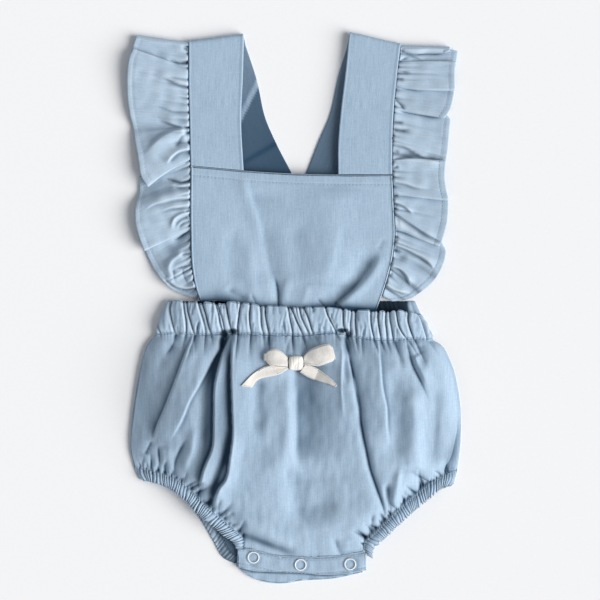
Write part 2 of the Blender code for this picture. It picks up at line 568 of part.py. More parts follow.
def bib(finish):
    u, v = grid(np.linspace(0, 1, 29), np.linspace(0, 1, 15))
    plan = coons(path(BIB_TOP, "x", "y"), path(BIB_BOTTOM, "x", "y"),
                 below(RUFFLE_SEAM_LEFT, BIB_TOP["y"][0]), below(RUFFLE_SEAM_RIGHT, BIB_TOP["y"][-1]), u, v)
    inside = bulge(u, 4) * np.clip((1 - v) / 0.12, 0, 1) * np.clip(v / 0.06, 0, 1)
    z = BIB_Z + inside * (1.0 * bulge(v * 0.98 + 0.01, 3) + fold_height(plan, BIB_FOLDS))
    face = with_height(plan, z)
    return wall("front_bib", face, face - np.array([0, 0, WALL]), finish)


def shoulder_arc(inner, outer, top_z, low_z, steps):
    """Sections of a band that turns over at the shoulder, from its back layer up to its front."""
    along = outer - inner
    across = np.array([along[1], -along[0]]) / np.linalg.norm(along)
    if across[1] < 0:
        across = -across
    radius = (top_z - low_z) / 2
    sections = []
    for angle in np.linspace(-math.pi / 2, math.pi / 2, steps + 2)[1:-1]:
        shift = across * radius * math.cos(angle)
        z = (top_z + low_z) / 2 + radius * math.sin(angle)
        sections.append((*(inner + shift), z, *(outer + shift), z))
    return sections


def strap(name, back, front, finish):
    """One band from the back waist, over the shoulder, to the bib."""
    behind = path(back, "inner_x", "inner_y", "z", "outer_x", "outer_y", "z")(STRAP_PLACES)
    before = path(front, "inner_x", "inner_y", "z", "outer_x", "outer_y", "z")(np.linspace(0, 1, 6))
    fold_in = np.array([front["inner_x"][0], front["inner_y"][0]])
    fold_out = np.array([front["outer_x"][0], front["outer_y"][0]])
    arc = shoulder_arc(fold_in, fold_out, front["z"][0], back["z"][-1], 4)
    rows = np.concatenate([behind, arc, before])
    t = np.linspace(0, 1, 4)[None, :, None]
    middle = rows[:, None, :3] * (1 - t) + rows[:, None, 3:] * t
    return sheet(name, middle, WALL, finish)


def ruffle_lines(front):
    """The ruffle's lines, with the foot of each steep step added."""
    lines = []
    hem = np.stack([front["hem_x"], front["hem_y"]], axis=1)
    rows = zip(front["seam_y"], front["hem_z"], front["bow"], front["drop"])
    for i, (seam_y, z, bow, drop) in enumerate(rows):
        lines.append((seam_y, *hem[i], z, bow))
        if drop:
            onward = (hem[i + 1] - hem[i]) / np.linalg.norm(hem[i + 1] - hem[i])
            lines.append((seam_y - STEP_SEAM, *(hem[i] + onward * STEP_RUN), z - drop, bow))
    return np.array(lines)


def ruffle(name, seam, strap_back, front, finish):
    """Gathered strip sewn into the outer edge of strap and bib, folded over the shoulder."""
    lines = ruffle_lines(front)
    runs = np.linalg.norm(np.diff(lines[:, 1:4], axis=0), axis=1)
    places = [i + k / count for i, count in enumerate(np.where(runs > 7, 2, 1)) for k in range(count)]
    lines = smooth(np.array(places + [len(runs)]), np.arange(len(lines), dtype=float), lines)
    seam_line = path(seam, "x", "y")(np.linspace(0, 1, 2000))
    side = np.sign(front["hem_x"][0])
    seam_x = np.interp(-lines[:, 0], -seam_line[:, 1], seam_line[:, 0]) + side * RUFFLE_GAP
    seam_z = np.interp(lines[:, 0], [BIB_TOP["y"].max(), front["seam_y"][0]],
                       [BIB_Z - WALL / 2, SHOULDER_Z - WALL / 2])
    before = np.column_stack([seam_x, lines[:, 0], seam_z, lines[:, 1:4]])

    places = STRAP_PLACES[STRAP_PLACES >= RUFFLE_BACK["along"][0]]
    sections = path(strap_back, "outer_x", "outer_y", "inner_x", "inner_y")(places)
    outward = sections[:, :2] - sections[:, 2:]
    outward /= np.linalg.norm(outward, axis=1, keepdims=True)
    width = np.interp(places, RUFFLE_BACK["along"], RUFFLE_BACK["width"])[:, None]
    low = np.full(len(places), RUFFLE_WALL / 2)
    behind = np.column_stack([sections[:, :2] + outward * RUFFLE_GAP, low,
                              sections[:, :2] + outward * width, low])
    arc = shoulder_arc(before[0, :2], before[0, 3:5], before[0, 2], RUFFLE_WALL / 2, 4)
    rows = np.concatenate([behind, arc, before])
    bow = np.concatenate([np.zeros(len(behind) + len(arc)), lines[:, 4]])[:, None]
    t = np.array([0, 0.16, 0.38, 0.68, 1])[None, :]
    middle = rows[:, None, :3] + (rows[:, None, 3:] - rows[:, None, :3]) * t[..., None]
    ease = np.sin(0.5 * math.pi * t)
    middle[..., 2] = rows[:, None, 2] + (rows[:, None, 5] - rows[:, None, 2]) * ease
    middle[..., 1] += 4 * bow * t * (1 - t)
    return sheet(name, middle, RUFFLE_WALL, finish)


# ---------------------------------------------------------------- snaps and bow

def snap_ring(name, finish):
    """Open ring of a snap about the origin, flat below and rounded on top."""
    section = [(RING_INNER, 0), (RING_INNER, 0.6), (RING_INNER + 0.4, 1), (RING_OUTER - 0.4, 1),
               (RING_OUTER, 0.6), (RING_OUTER, 0)]
    count = len(section)
    points, faces = [], []
    for i in range(RING_STEPS):
        angle = 2 * math.pi * i / RING_STEPS
        here, after = i * count, (i + 1) % RING_STEPS * count
        for k, (radius, rise) in enumerate(section):
            points.append((radius * math.cos(angle), radius * math.sin(angle), rise * RING_HEIGHT))
            beside = (k + 1) % count
            faces.append((here + k, after + k, after + beside, here + beside))
    return solid(name, np.array(points), faces, finish)


def top_of(*objects):
    """Function from plan points to the height of the highest of these objects there, a little
    to every side included."""
    trees = []
    for thing in objects:
        points = [vertex.co / MM for vertex in thing.data.vertices]
        trees.append(BVHTree.FromPolygons(points, [tuple(face.vertices) for face in thing.data.polygons]))
    around = [(dx, dy) for dx in (-REST_ROOM, 0, REST_ROOM) for dy in (-REST_ROOM, 0, REST_ROOM)]

    def height(plan):
        z = np.zeros(plan.shape[:-1])
        for at in np.ndindex(z.shape):
            for dx, dy in around:
                start = Vector((plan[at][0] + dx, plan[at][1] + dy, 100))
                hits = [tree.ray_cast(start, Vector((0, 0, -1)))[0] for tree in trees]
                z[at] = max([z[at]] + [hit.z for hit in hits if hit])
        return z
    return height


def bow_tail(name, rows, under, finish):
    """One end of the tape, lying on the cloth."""
    u, w = grid(np.linspace(0, 1, 4), np.linspace(0, 1, 9))
    sides = path(rows, "upper_x", "upper_y", "lower_x", "lower_y")(w)
    plan = sides[..., :2] + (sides[..., 2:] - sides[..., :2]) * u[..., None]
    return sheet(name, with_height(plan, under(plan) + LAYER + TAPE_WALL / 2), TAPE_WALL, finish)


def bow_loop(name, rows, under, finish):
    """Tape from the knot out along the cloth, turned over at the end and back on top."""
    out, turn = np.linspace(0, 1, 7), np.ones(3)
    angle = math.pi * np.concatenate([0 * out - 0.5, np.array([-0.25, 0, 0.25]), 0 * out + 0.5])[:, None]
    u, w = grid(np.linspace(0, 1, 5), np.concatenate([out, turn, out[::-1]]))
    sides = path(rows, "upper_x", "upper_y", "lower_x", "lower_y", "open")(w)
    plan = sides[..., :2] + (sides[..., 2:4] - sides[..., :2]) * u[..., None]
    rest = under(plan) + LAYER + TAPE_WALL / 2
    radius = 0.5 * sides[..., 4]
    plan[..., 0] += np.sign(rows["upper_x"][-1] - rows["upper_x"][0]) * radius * np.cos(angle)
    return sheet(name, with_height(plan, rest + radius * (1 + np.sin(angle))), TAPE_WALL, finish)


def bow_knot(name, under, finish):
    u, v = grid(np.linspace(-1, 1, 8), np.linspace(-1, 1, 8))
    plan = np.stack([KNOT_X + KNOT_HALF_WIDTH * u * np.sqrt(1 - 0.3 * v**2),
                     KNOT_Y + KNOT_HALF_LENGTH * v * np.sqrt(1 - 0.3 * u**2)], axis=-1)
    low = under(plan) + LAYER
    dome = (1 - u**4) * (1 - v**4)
    return wall(name, with_height(plan, low + KNOT_EDGE + KNOT_DOME * dome), with_height(plan, low), finish)


# ---------------------------------------------------------------- build

def build():
    for old in list(bpy.data.objects):
        bpy.data.objects.remove(old, do_unlink=True)
    chambray = material("chambray", (0.40, 0.52, 0.64), 0.85)

    panel = bloomer_front(chambray)
    bloomer_back(chambray)
    waistband_front(chambray)
    waistband_back(chambray)
    leg_casing("leg_casing_front_left", LEG_FRONT_LEFT, 9, -1.0, chambray)
    leg_casing("leg_casing_front_right", LEG_FRONT_RIGHT, 5, 1.0, chambray)
    back_leg_casing("leg_casing_back_left", LEG_BACK_LEFT, 3, chambray)
    back_leg_casing("leg_casing_back_right", LEG_BACK_RIGHT, 7, chambray)
    placket("placket_front", PLACKET_FRONT, CROTCH_Z, chambray)
    placket("placket_back", PLACKET_BACK, BACK_TOP + LAYER + PLACKET_WALL, chambray)
    bib(chambray)
    strap("strap_left", STRAP_LEFT_BACK, STRAP_LEFT_FRONT, chambray)
    strap("strap_right", STRAP_RIGHT_BACK, STRAP_RIGHT_FRONT, chambray)
    ruffle("ruffle_left", RUFFLE_SEAM_LEFT, STRAP_LEFT_BACK, RUFFLE_LEFT_FRONT, chambray)
    ruffle("ruffle_right", RUFFLE_SEAM_RIGHT, STRAP_RIGHT_BACK, RUFFLE_RIGHT_FRONT, chambray)

    enamel = material("white_enamel", (0.88, 0.88, 0.87), 0.3)
    first = snap_ring("snap_ring_1", enamel)
    first.location = (SNAPS["x"][0] * MM, SNAPS["y"][0] * MM, (CROTCH_Z + LAYER) * MM)
    for i in (1, 2):
        placed(f"snap_ring_{i + 1}", first.data, SNAPS["x"][i], SNAPS["y"][i], CROTCH_Z + LAYER)

    tape = material("cotton_tape", (0.88, 0.86, 0.82), 0.9)
    tails = [bow_tail("bow_tail_left", BOW_TAIL_LEFT, top_of(panel), tape),
             bow_tail("bow_tail_right", BOW_TAIL_RIGHT, top_of(panel), tape)]
    bow_loop("bow_loop_left", BOW_LOOP_LEFT, top_of(panel, *tails), tape)
    bow_loop("bow_loop_right", BOW_LOOP_RIGHT, top_of(panel, *tails), tape)
    bow_knot("bow_knot", top_of(panel), tape)

    romper = placed("baby_romper", None)
    for piece in bpy.data.objects:
        if piece is not romper:
            piece.parent = romper


build()
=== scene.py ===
import math

import bmesh
import bpy
import numpy as np
from mathutils import Matrix, Vector
from mathutils.bvhtree import BVHTree


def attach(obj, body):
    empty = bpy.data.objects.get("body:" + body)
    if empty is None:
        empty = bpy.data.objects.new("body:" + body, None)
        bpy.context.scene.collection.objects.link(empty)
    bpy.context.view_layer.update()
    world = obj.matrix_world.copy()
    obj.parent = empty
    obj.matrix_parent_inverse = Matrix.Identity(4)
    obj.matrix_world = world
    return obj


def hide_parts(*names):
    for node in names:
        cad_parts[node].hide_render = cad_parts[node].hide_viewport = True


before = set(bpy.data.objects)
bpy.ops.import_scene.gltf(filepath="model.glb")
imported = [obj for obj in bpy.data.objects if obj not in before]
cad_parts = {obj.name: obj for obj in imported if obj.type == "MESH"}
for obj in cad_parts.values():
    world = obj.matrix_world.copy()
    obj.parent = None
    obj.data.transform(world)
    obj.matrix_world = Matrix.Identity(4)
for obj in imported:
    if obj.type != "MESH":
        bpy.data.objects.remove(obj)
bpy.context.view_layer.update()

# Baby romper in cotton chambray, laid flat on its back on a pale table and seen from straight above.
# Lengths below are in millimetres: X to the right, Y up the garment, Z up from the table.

mm = 0.001
print("frame loaded:", len(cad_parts), "nodes")

layers = {"seam": 0.04, "layer": 0.3, "ruffleGap": 0.4, "backTop": 1.2, "sideSeam": 1.6, "bib": 7.6,
          "shoulder": 6.6, "waist": 9.6, "crotch": 5.0, "puff": 15.0}


# rows of numbers under named columns
def table(columns, *rows):
    return {name: np.array([row[i] for row in rows], float) for i, name in enumerate(columns.split())}


# outlines of the garment's pieces
sideLeft = table("x y",
    (-110.0, -20.3), (-117.2, -29.0), (-122.4, -45.6), (-127.2, -70.0),
    (-130.4, -96.0), (-130.8, -112.0), (-127.6, -126.8))
sideRight = table("x y",
    (110.4, -24.4), (117.4, -28.2), (125.2, -41.6), (131.6, -66.0),
    (133.6, -92.0), (132.8, -110.0), (130.6, -128.8))
waistFront = table("x top bottom",
    (-110.0, 7.0, -20.0), (-92.0, 5.2, -19.2), (-73.0, 4.2, -20.2), (-52.0, 4.8, -19.4),
    (-20.0, 1.8, -20.0), (5.0, 0.8, -20.6), (34.0, 0.6, -18.8), (54.0, -1.6, -23.0),
    (77.0, -2.2, -24.8), (95.0, -2.0, -23.6), (110.4, -4.6, -24.6))
legFrontLeft = table("edge_x edge_y seam_x seam_y z",
    (-124.0, -136.0, -127.6, -127.2, 1.6), (-112.0, -138.4, -113.0, -130.2, 6.6),
    (-99.2, -143.2, -96.4, -135.4, 9.4), (-87.6, -151.6, -82.4, -145.2, 10.6),
    (-76.4, -163.0, -71.0, -157.0, 10.8), (-64.8, -172.8, -59.4, -166.8, 10.2),
    (-54.6, -181.4, -48.8, -176.0, 8.4), (-47.0, -188.6, -40.4, -184.6, 5.8))
legFrontRight = table("edge_x edge_y seam_x seam_y z",
    (127.6, -140.4, 130.6, -129.2, 1.6), (119.2, -142.4, 119.6, -133.4, 5.8),
    (110.4, -148.8, 106.2, -141.4, 8.8), (97.6, -159.2, 92.0, -152.6, 10.4),
    (84.0, -171.2, 78.0, -165.2, 10.8), (72.0, -183.0, 66.0, -177.2, 9.6),
    (62.4, -194.2, 55.6, -189.4, 5.8))
legBackLeft = table("edge_x edge_y seam_x seam_y",
    (-123.6, -136.0, -127.6, -127.2), (-105.6, -141.4, -103.6, -133.6),
    (-92.0, -148.8, -87.4, -142.0), (-80.8, -160.4, -74.6, -154.8),
    (-72.8, -171.8, -66.2, -167.0), (-64.6, -185.6, -57.6, -181.6),
    (-56.4, -199.0, -49.2, -195.2))
legBackRight = table("edge_x edge_y seam_x seam_y",
    (127.0, -139.8, 130.6, -129.2), (118.6, -141.4, 118.8, -132.8),
    (109.4, -147.6, 105.0, -140.6), (96.4, -158.0, 90.8, -151.6),
    (82.6, -170.0, 76.8, -164.0), (70.6, -182.0, 64.8, -176.2),
    (61.6, -194.6, 54.6, -190.0))
placketFront = table("x seam edge",
    (-45.2, -190.6, -206.2), (-34.0, -192.4, -209.0), (-20.0, -196.2, -210.0),
    (4.0, -198.6, -210.6), (24.0, -198.4, -212.4), (41.6, -196.8, -211.2),
    (57.6, -194.0, -208.6))
placketBack = table("x seam edge",
    (-45.6, -199.0, -205.6), (-36.0, -200.0, -213.4), (-21.0, -200.0, -218.6),
    (-9.6, -200.0, -219.4), (6.0, -200.0, -217.2), (32.0, -200.0, -215.4),
    (55.0, -198.0, -210.4))
bibTop = table("x y",
    (-82.4, 114.2), (-61.0, 112.2), (-40.0, 110.4), (0.0, 108.0), (35.0, 107.2), (78.4, 107.2))
bibBottom = table("x y",
    (-74.6, 5.0), (-67.0, 6.6), (-60.6, 6.8), (-53.0, 4.6), (-45.0, 0.0),
    (-20.0, -3.0), (20.0, -3.6), (64.4, -5.0))
ruffleSeamLeft = table("x y",
    (-84.0, 211.0), (-84.0, 183.0), (-83.2, 151.0), (-82.4, 114.2),
    (-82.4, 63.0), (-80.8, 31.0), (-78.0, 17.0), (-74.6, 6.4))
ruffleSeamRight = table("x y",
    (84.8, 208.6), (80.8, 176.0), (78.6, 140.0), (78.4, 107.2),
    (79.2, 87.0), (80.0, 54.0), (78.4, 40.8), (75.2, 27.2), (64.4, -5.0))
strapLeftBack = table("inner_x inner_y outer_x outer_y z",
    (48.6, 7.0, 1.0, 7.0, 2.2), (23.0, 58.0, -20.0, 48.0, 2.2),
    (-1.6, 108.0, -39.6, 88.8, 2.2), (-14.4, 132.8, -53.0, 116.8, 1.2),
    (-22.4, 151.2, -63.0, 140.0, 0.6), (-30.0, 184.0, -71.0, 174.0, 0.6),
    (-39.0, 211.6, -80.8, 203.6, 0.6))
strapLeftFront = table("inner_x inner_y outer_x outer_y z",
    (-40.0, 216.6, -84.0, 211.0, 6.0), (-40.8, 186.0, -84.0, 183.0, 6.1),
    (-42.2, 150.0, -83.2, 151.0, 6.5), (-40.2, 110.7, -82.4, 114.5, 7.0))
strapRightBack = table("inner_x inner_y outer_x outer_y z",
    (-40.0, 7.0, 7.0, 7.0, 0.6), (-15.0, 58.0, 27.0, 48.0, 0.6),
    (9.6, 108.8, 48.0, 93.6, 0.6), (20.8, 136.8, 59.6, 121.6, 0.6),
    (27.0, 151.0, 67.4, 139.0, 0.6), (36.4, 190.0, 76.8, 180.0, 0.6),
    (42.8, 210.6, 83.6, 201.0, 0.6))
strapRightFront = table("inner_x inner_y outer_x outer_y z",
    (44.0, 218.0, 84.8, 208.6, 6.0), (41.6, 193.0, 82.6, 190.0, 6.1),
    (37.4, 157.6, 79.4, 157.0, 6.4), (35.2, 130.0, 78.4, 130.0, 6.8),
    (35.2, 107.6, 78.4, 107.6, 7.0))

# lines of each ruffle from seam to hem: where on the seam, where the hem lies, its height, how far the
# line bows, and how far down (or below 0, up) the cloth turns there to run back under or over itself
ruffleLeftFront = table("seam_y hem_x hem_y hem_z bow turn",
    (209.8, -126.4, 215.8, 6.2, 0, 0), (205.6, -128.0, 211.2, 5.2, 0, 0),
    (197.6, -130.0, 204.0, 3.4, 0, 0), (192.4, -131.2, 199.2, 3, 0, -2.6),
    (192.1, -128.5, 206.7, 6.8, 0, -1.6), (190.8, -130.7, 202.4, 8.6, 0, 0),
    (185.6, -132.5, 192.8, 8.8, 0, 0), (175.2, -133.1, 183.2, 7.9, 0, 0),
    (166.4, -133.0, 173.6, 7, 0, 0), (159.2, -132.3, 164.0, 6.2, 0, 0),
    (152.0, -131.0, 156.0, 5.6, 0, 0), (145.6, -128.6, 145.2, 2.6, 0, 0),
    (142.4, -127.4, 137.6, 5, 2, 0), (135.2, -125.4, 127.2, 7.6, 3, 0),
    (128.8, -123.7, 116.8, 8.8, 3.5, 0), (123.2, -121.9, 106.4, 9.2, 3, 0),
    (118.0, -117.0, 98.2, 8.9, 2.5, 2.8), (117.7, -122.9, 104.8, 4.4, 2.5, 1.8),
    (116.8, -123.4, 100.0, 2.4, 2, 0), (112.8, -123.4, 95.2, 2.2, 1, 0),
    (106.4, -124.3, 89.6, 3.6, 0, 0), (100.0, -125.9, 84.0, 6, 1, 0),
    (92.8, -126.7, 77.6, 8, 2, 0), (84.8, -126.5, 71.2, 8.8, 2.5, 0),
    (76.8, -125.3, 64.0, 9, 2.5, 0), (69.6, -122.9, 56.0, 8.8, 1.5, 0),
    (63.6, -119.7, 47.4, 8.4, 0, 2.8), (63.2, -121.2, 52.0, 4.2, 0, 1.8),
    (61.6, -118.8, 46.8, 2.2, 0, 0), (55.2, -116.0, 40.4, 2.2, 0, 0),
    (47.2, -112.6, 33.6, 3.4, 0, 0), (40.0, -108.6, 27.6, 5.4, 0, 0),
    (33.6, -104.0, 22.0, 6.2, 0, 0), (27.2, -98.4, 16.8, 4.6, 0, 0),
    (20.0, -91.2, 12.6, 2.6, 0, 0), (13.6, -83.2, 9.9, 2.4, 0, 0),
    (9.2, -77.2, 8.5, 3.4, 0, 0))
ruffleRightFront = table("seam_y hem_x hem_y hem_z bow turn",
    (207.5, 124.4, 206.4, 6.4, 0, 0), (206.0, 123.6, 205.7, 6.6, -1.4, 2.2),
    (205.7, 126.4, 206.8, 3.6, -1, 0), (205.4, 130.7, 205.9, 3, 0, 0),
    (201.6, 130.1, 200.8, 3.6, 0, 0), (197.2, 129.0, 193.6, 2.6, 0, -2.2),
    (196.8, 129.1, 196.5, 6.2, 0.6, -1.4), (192.8, 128.4, 192.0, 7.8, 0, 0),
    (186.4, 128.2, 184.8, 7.6, 0, 0), (177.4, 128.4, 175.4, 7.8, -1, 2.6),
    (177.0, 127.8, 179.2, 3.6, -1, 1.4), (176.0, 127.8, 174.4, 2.8, 0, 0),
    (171.2, 126.9, 168.0, 5.2, 0, 0), (165.6, 124.8, 160.0, 7.6, 0, 0),
    (159.4, 120.6, 153.1, 8.6, 0, 2.8), (159.0, 121.6, 156.4, 4, 0, 1.4),
    (158.4, 124.9, 150.9, 2.8, 0, 0), (153.6, 124.3, 144.8, 3.6, 0, 0),
    (146.4, 123.6, 137.6, 5.4, 0, 0), (138.4, 123.0, 131.2, 6.6, 0, 0),
    (133.2, 121.9, 122.0, 6.2, 0, 0), (131.6, 121.6, 120.4, 4.8, 0, 0),
    (120.4, 121.1, 116.0, 3.6, 0.6, -1.8), (119.8, 121.0, 117.6, 5.8, 0.6, -0.8),
    (116.0, 120.6, 113.6, 6.8, 0, 0), (109.6, 120.2, 106.4, 7, 0, 0),
    (101.6, 121.0, 97.6, 7.8, 0, 0), (92.4, 123.1, 87.7, 8.2, -0.6, 2.6),
    (92.0, 122.2, 92.0, 3.8, -0.6, 1.4), (90.4, 123.2, 86.4, 3, 0, 0),
    (84.8, 123.0, 79.2, 4.8, 0, 0), (80.0, 122.4, 71.2, 6.6, 0, 0),
    (76.0, 118.0, 54.0, 8.2, 0, 2), (75.7, 119.2, 57.6, 4.8, 0, 0.8),
    (74.4, 117.1, 52.4, 4.6, 0, 0), (64.0, 116.3, 50.7, 6.4, 0, 2.6),
    (63.7, 118.0, 54.0, 3.2, 0, 1), (62.4, 121.3, 46.1, 2.2, 0, 0),
    (56.8, 120.7, 41.2, 4, 0, 0), (50.4, 118.7, 34.8, 7.2, 1, 0),
    (45.6, 115.8, 28.8, 7.4, 2, 0), (42.4, 112.4, 23.7, 4.2, 2, 0),
    (37.6, 108.4, 19.2, 5.6, 1, 0), (34.0, 103.2, 14.9, 6.6, 1, 0),
    (31.2, 99.2, 12.0, 3.6, 1, 0), (24.8, 95.6, 9.4, 4.8, 0, 0),
    (19.2, 91.0, 7.7, 4.6, 0, 0), (15.2, 84.8, 6.8, 2.6, 0, 0),
    (10.4, 78.4, 6.0, 3.4, 0, 0))
ruffleBack = table("along width",
    (0.5, 6.0), (0.6, 17.0), (0.7, 26.0), (0.85, 35.0), (1.0, 40.0))

# curves and grids


# cubic curve through values at knots
def smooth(at, knots, values):
    slopes = np.gradient(values, knots, axis=0)
    return hermite(at, knots, values, slopes)


# the same, but it never swings past its values
def gentle(at, knots, values):
    step = np.diff(knots)[:, None]
    rise = np.diff(values, axis=0) / step
    before, after = 2 * step[1:] + step[:-1], step[1:] + 2 * step[:-1]
    same = rise[1:] * rise[:-1] > 1e-9
    ahead, behind = np.where(same, rise[1:], 1), np.where(same, rise[:-1], 1)
    slopes = np.zeros_like(values)
    slopes[1:-1] = same * (before + after) / (before / behind + after / ahead)
    slopes[0], slopes[-1] = rise[0], rise[-1]
    return hermite(at, knots, values, slopes)


def hermite(at, knots, values, slopes):
    i = np.clip(np.searchsorted(knots, at, side="right") - 1, 0, len(knots) - 2)
    span = knots[i + 1] - knots[i]
    t = (at - knots[i]) / span
    shape = t.shape + (1,) * (values.ndim - 1)
    t, span = t.reshape(shape), span.reshape(shape)
    return ((2 * t**3 - 3 * t**2 + 1) * values[i] + (t**3 - 2 * t**2 + t) * span * slopes[i]
            + (3 * t**2 - 2 * t**3) * values[i + 1] + (t**3 - t**2) * span * slopes[i + 1])


def path(rows, *columns):
    values = np.stack([rows[name] for name in columns], axis=1)
    steps = np.linalg.norm(np.diff(values[:, :2], axis=0), axis=1)
    knots = np.concatenate([[0.0], np.cumsum(steps)]) / steps.sum()
    return lambda at: smooth(np.asarray(at, float), knots, values)


def stretch(curve, start, end):
    return lambda at: curve(start + (end - start) * np.asarray(at, float))


def chain(*stretches):
    def curve(at):
        at = np.asarray(at, float)
        out = np.zeros_like(stretches[0][2](np.clip(at, 0, 1)))
        for start, end, part in stretches:
            inside = (at >= start) & (at <= end)
            out[inside] = part(np.clip((at[inside] - start) / (end - start), 0, 1))
        return out
    return curve


# length of a line of points up to each of them
def runOf(points):
    return np.concatenate([[0], np.cumsum(np.linalg.norm(np.diff(points, axis=0), axis=1))])


# patch inside four edge curves
def patch(top, bottom, left, right, u, v, hold=1):
    u3, v3 = u[..., None], v[..., None]
    zero, one = np.zeros_like(v), np.ones_like(v)
    leftBulge = left(v) - (1 - v3) * left(zero) - v3 * left(one)
    rightBulge = right(v) - (1 - v3) * right(zero) - v3 * right(one)
    return (1 - v3) * top(u) + v3 * bottom(u) + (1 - u3) ** hold * leftBulge + u3 ** hold * rightBulge


# an odd number of places from 0 to 1, with two more close to each end where the rim is rounded
def places(count, length):
    near = np.array([0.35, 0.9]) / length
    return np.concatenate([[0], near, np.linspace(0, 1, count)[1:-1], 1 - near[::-1], [1]])


def spread(u, pull):
    return u - pull * np.sin(2 * math.pi * u) / (2 * math.pi)


def bulge(s, power):
    return (1 - np.abs(2 * s - 1) ** power) ** (1 / power)


def ease(t):
    t = np.clip(t, 0, 1)
    return t * t * (3 - 2 * t)


# falls from 1 towards 0 with distance, to about a third at its reach
def fading(away, reach, power=1):
    return np.exp(-(away / reach) ** power)


# 1 on the pinched line of each gather, 0 on top of the puff between two
def pinched(phase):
    return 1 - np.abs(np.sin(math.pi * phase))


def withHeight(plan, z):
    return np.concatenate([plan, z[..., None]], axis=-1)


# share of a piece's width and of its height at each point of its grid
def gridOf(b):
    return np.meshgrid(places(b["columns"], b["wide"]), places(b["rows"], b["high"]))


# which way a front layer faces: sideways at the side seams, up over the middle
def sideLean(s):
    angle = 0.5 * math.pi * np.sqrt(np.clip(np.minimum(s, 1 - s) / 0.06, 0, 1))
    outward = np.where(s < 0.5, -1.0, 1.0)
    return np.stack([outward * np.cos(angle), np.zeros_like(s), np.sin(angle)], axis=-1)


def surfaceNormals(points):
    normal = np.cross(np.gradient(points, axis=1), np.gradient(points, axis=0))
    return normal / np.maximum(np.linalg.norm(normal, axis=-1, keepdims=True), 1e-9)


# mean over a square of cells, twice for a soft edge
def blurred(values, reach):
    for axis in (0, 1, 0, 1):
        pad = [(0, 0), (0, 0)]
        pad[axis] = (reach + 1, reach)
        total = np.cumsum(np.pad(values, pad, mode="edge"), axis=axis)
        count = values.shape[axis]
        high = np.take(total, np.arange(count) + 2 * reach + 1, axis=axis)
        values = (high - np.take(total, np.arange(count), axis=axis)) / (2 * reach + 1)
    return values


# lowest value within a square of cells
def lowest(values, reach):
    for axis in (0, 1):
        pad = [(0, 0), (0, 0)]
        pad[axis] = (reach, reach)
        padded = np.pad(values, pad, mode="edge")
        count = values.shape[axis]
        shifted = [np.take(padded, np.arange(count) + k, axis=axis) for k in range(2 * reach + 1)]
        values = np.min(shifted, axis=0)
    return values


# soft undulation of handled cloth, about -1 to 1
def crumple(plan, size, seed, waves=14):
    draw = np.random.default_rng(seed)
    total = np.zeros(plan.shape[:-1])
    for k in range(waves):
        angle = draw.uniform(0, 2 * math.pi)
        length = size * draw.uniform(0.6, 1.8)
        along = plan[..., 0] * math.cos(angle) + plan[..., 1] * math.sin(angle)
        total += np.sin(2 * math.pi * along / length + draw.uniform(0, 2 * math.pi))
    return total / math.sqrt(waves)


# A crease is followed in this many steps, out to its reach times its width and a little room; rim is how
# steeply an edge rises and foot how deep the hollow beside it is, as a share of its height.
creaseSettings = {"steps": 70, "reach": 3.4, "room": 1.5, "rim": 0.32, "foot": 0.55}
sideWays = {"left": (-1, 0), "right": (1, 0), "up": (0, 1), "down": (0, -1)}


# Sum of creases laid on the plan. Each is a shape, the side it leans to, its width on that side and on
# the other, its height, how much of its length it takes to fade in and out, and the points it runs
# through. A soft one is a rounded ridge or trough, a sharp one comes to a line, and an edge is the rim
# of a fold: high on its side, with a hollow at its foot.
def creaseRelief(plan, creases):
    b = creaseSettings
    total = np.zeros(plan.shape[:-1])
    flat, out = plan.reshape(-1, plan.shape[-1])[:, :2], total.reshape(-1)
    t = np.linspace(0, 1, b["steps"])
    for shape, side, wide, narrow, height, fadeIn, fadeOut, *points in creases:
        points = np.array(points, float)
        runs = np.linalg.norm(np.diff(points, axis=0), axis=1)
        line = smooth(t, np.concatenate([[0], np.cumsum(runs)]) / runs.sum(), points)
        reach = b["reach"] * max(wide, narrow) + b["room"]
        near = np.flatnonzero(((flat > line.min(0) - reach) & (flat < line.max(0) + reach)).all(axis=1))
        if not len(near):
            continue
        away = flat[near, None] - line[None]
        nearest = (away**2).sum(axis=-1).argmin(axis=1)
        offset = away[np.arange(len(near)), nearest]
        course = np.gradient(line, axis=0)
        along = course[nearest] / np.linalg.norm(course[nearest], axis=1, keepdims=True)
        across = np.stack([-along[:, 1], along[:, 0]], axis=1)
        middle = course[b["steps"] // 2]
        turned = np.sign(np.dot((-middle[1], middle[0]), sideWays[side])) or 1.0
        past = (offset * along).sum(axis=1)
        paintedBlackness = np.maximum(np.abs(past) - runs.sum() / (b["steps"] - 1), 0)
        d = (offset * across).sum(axis=1) * turned
        far, width = np.hypot(d, paintedBlackness), np.where(d > 0, wide, narrow)
        place = np.clip(t[nearest] + past / runs.sum(), 0, 1)
        fade = (ease(place / fadeIn) if fadeIn else 1.0) * (ease((1 - place) / fadeOut) if fadeOut else 1.0)
        if shape == "soft":
            h = fading(far, width, 2)
        elif shape == "sharp":
            h = fading(far, width)
        else:
            step = 1 / (1 + np.exp(-d / b["rim"]))
            high, foot = fading(np.maximum(d, 0), wide, 1.5), fading(np.abs(d), narrow)
            h = (step * high - b["foot"] * (1 - step) * foot) * fading(paintedBlackness, 2, 2)
        out[near] += height * fade * h
    return total


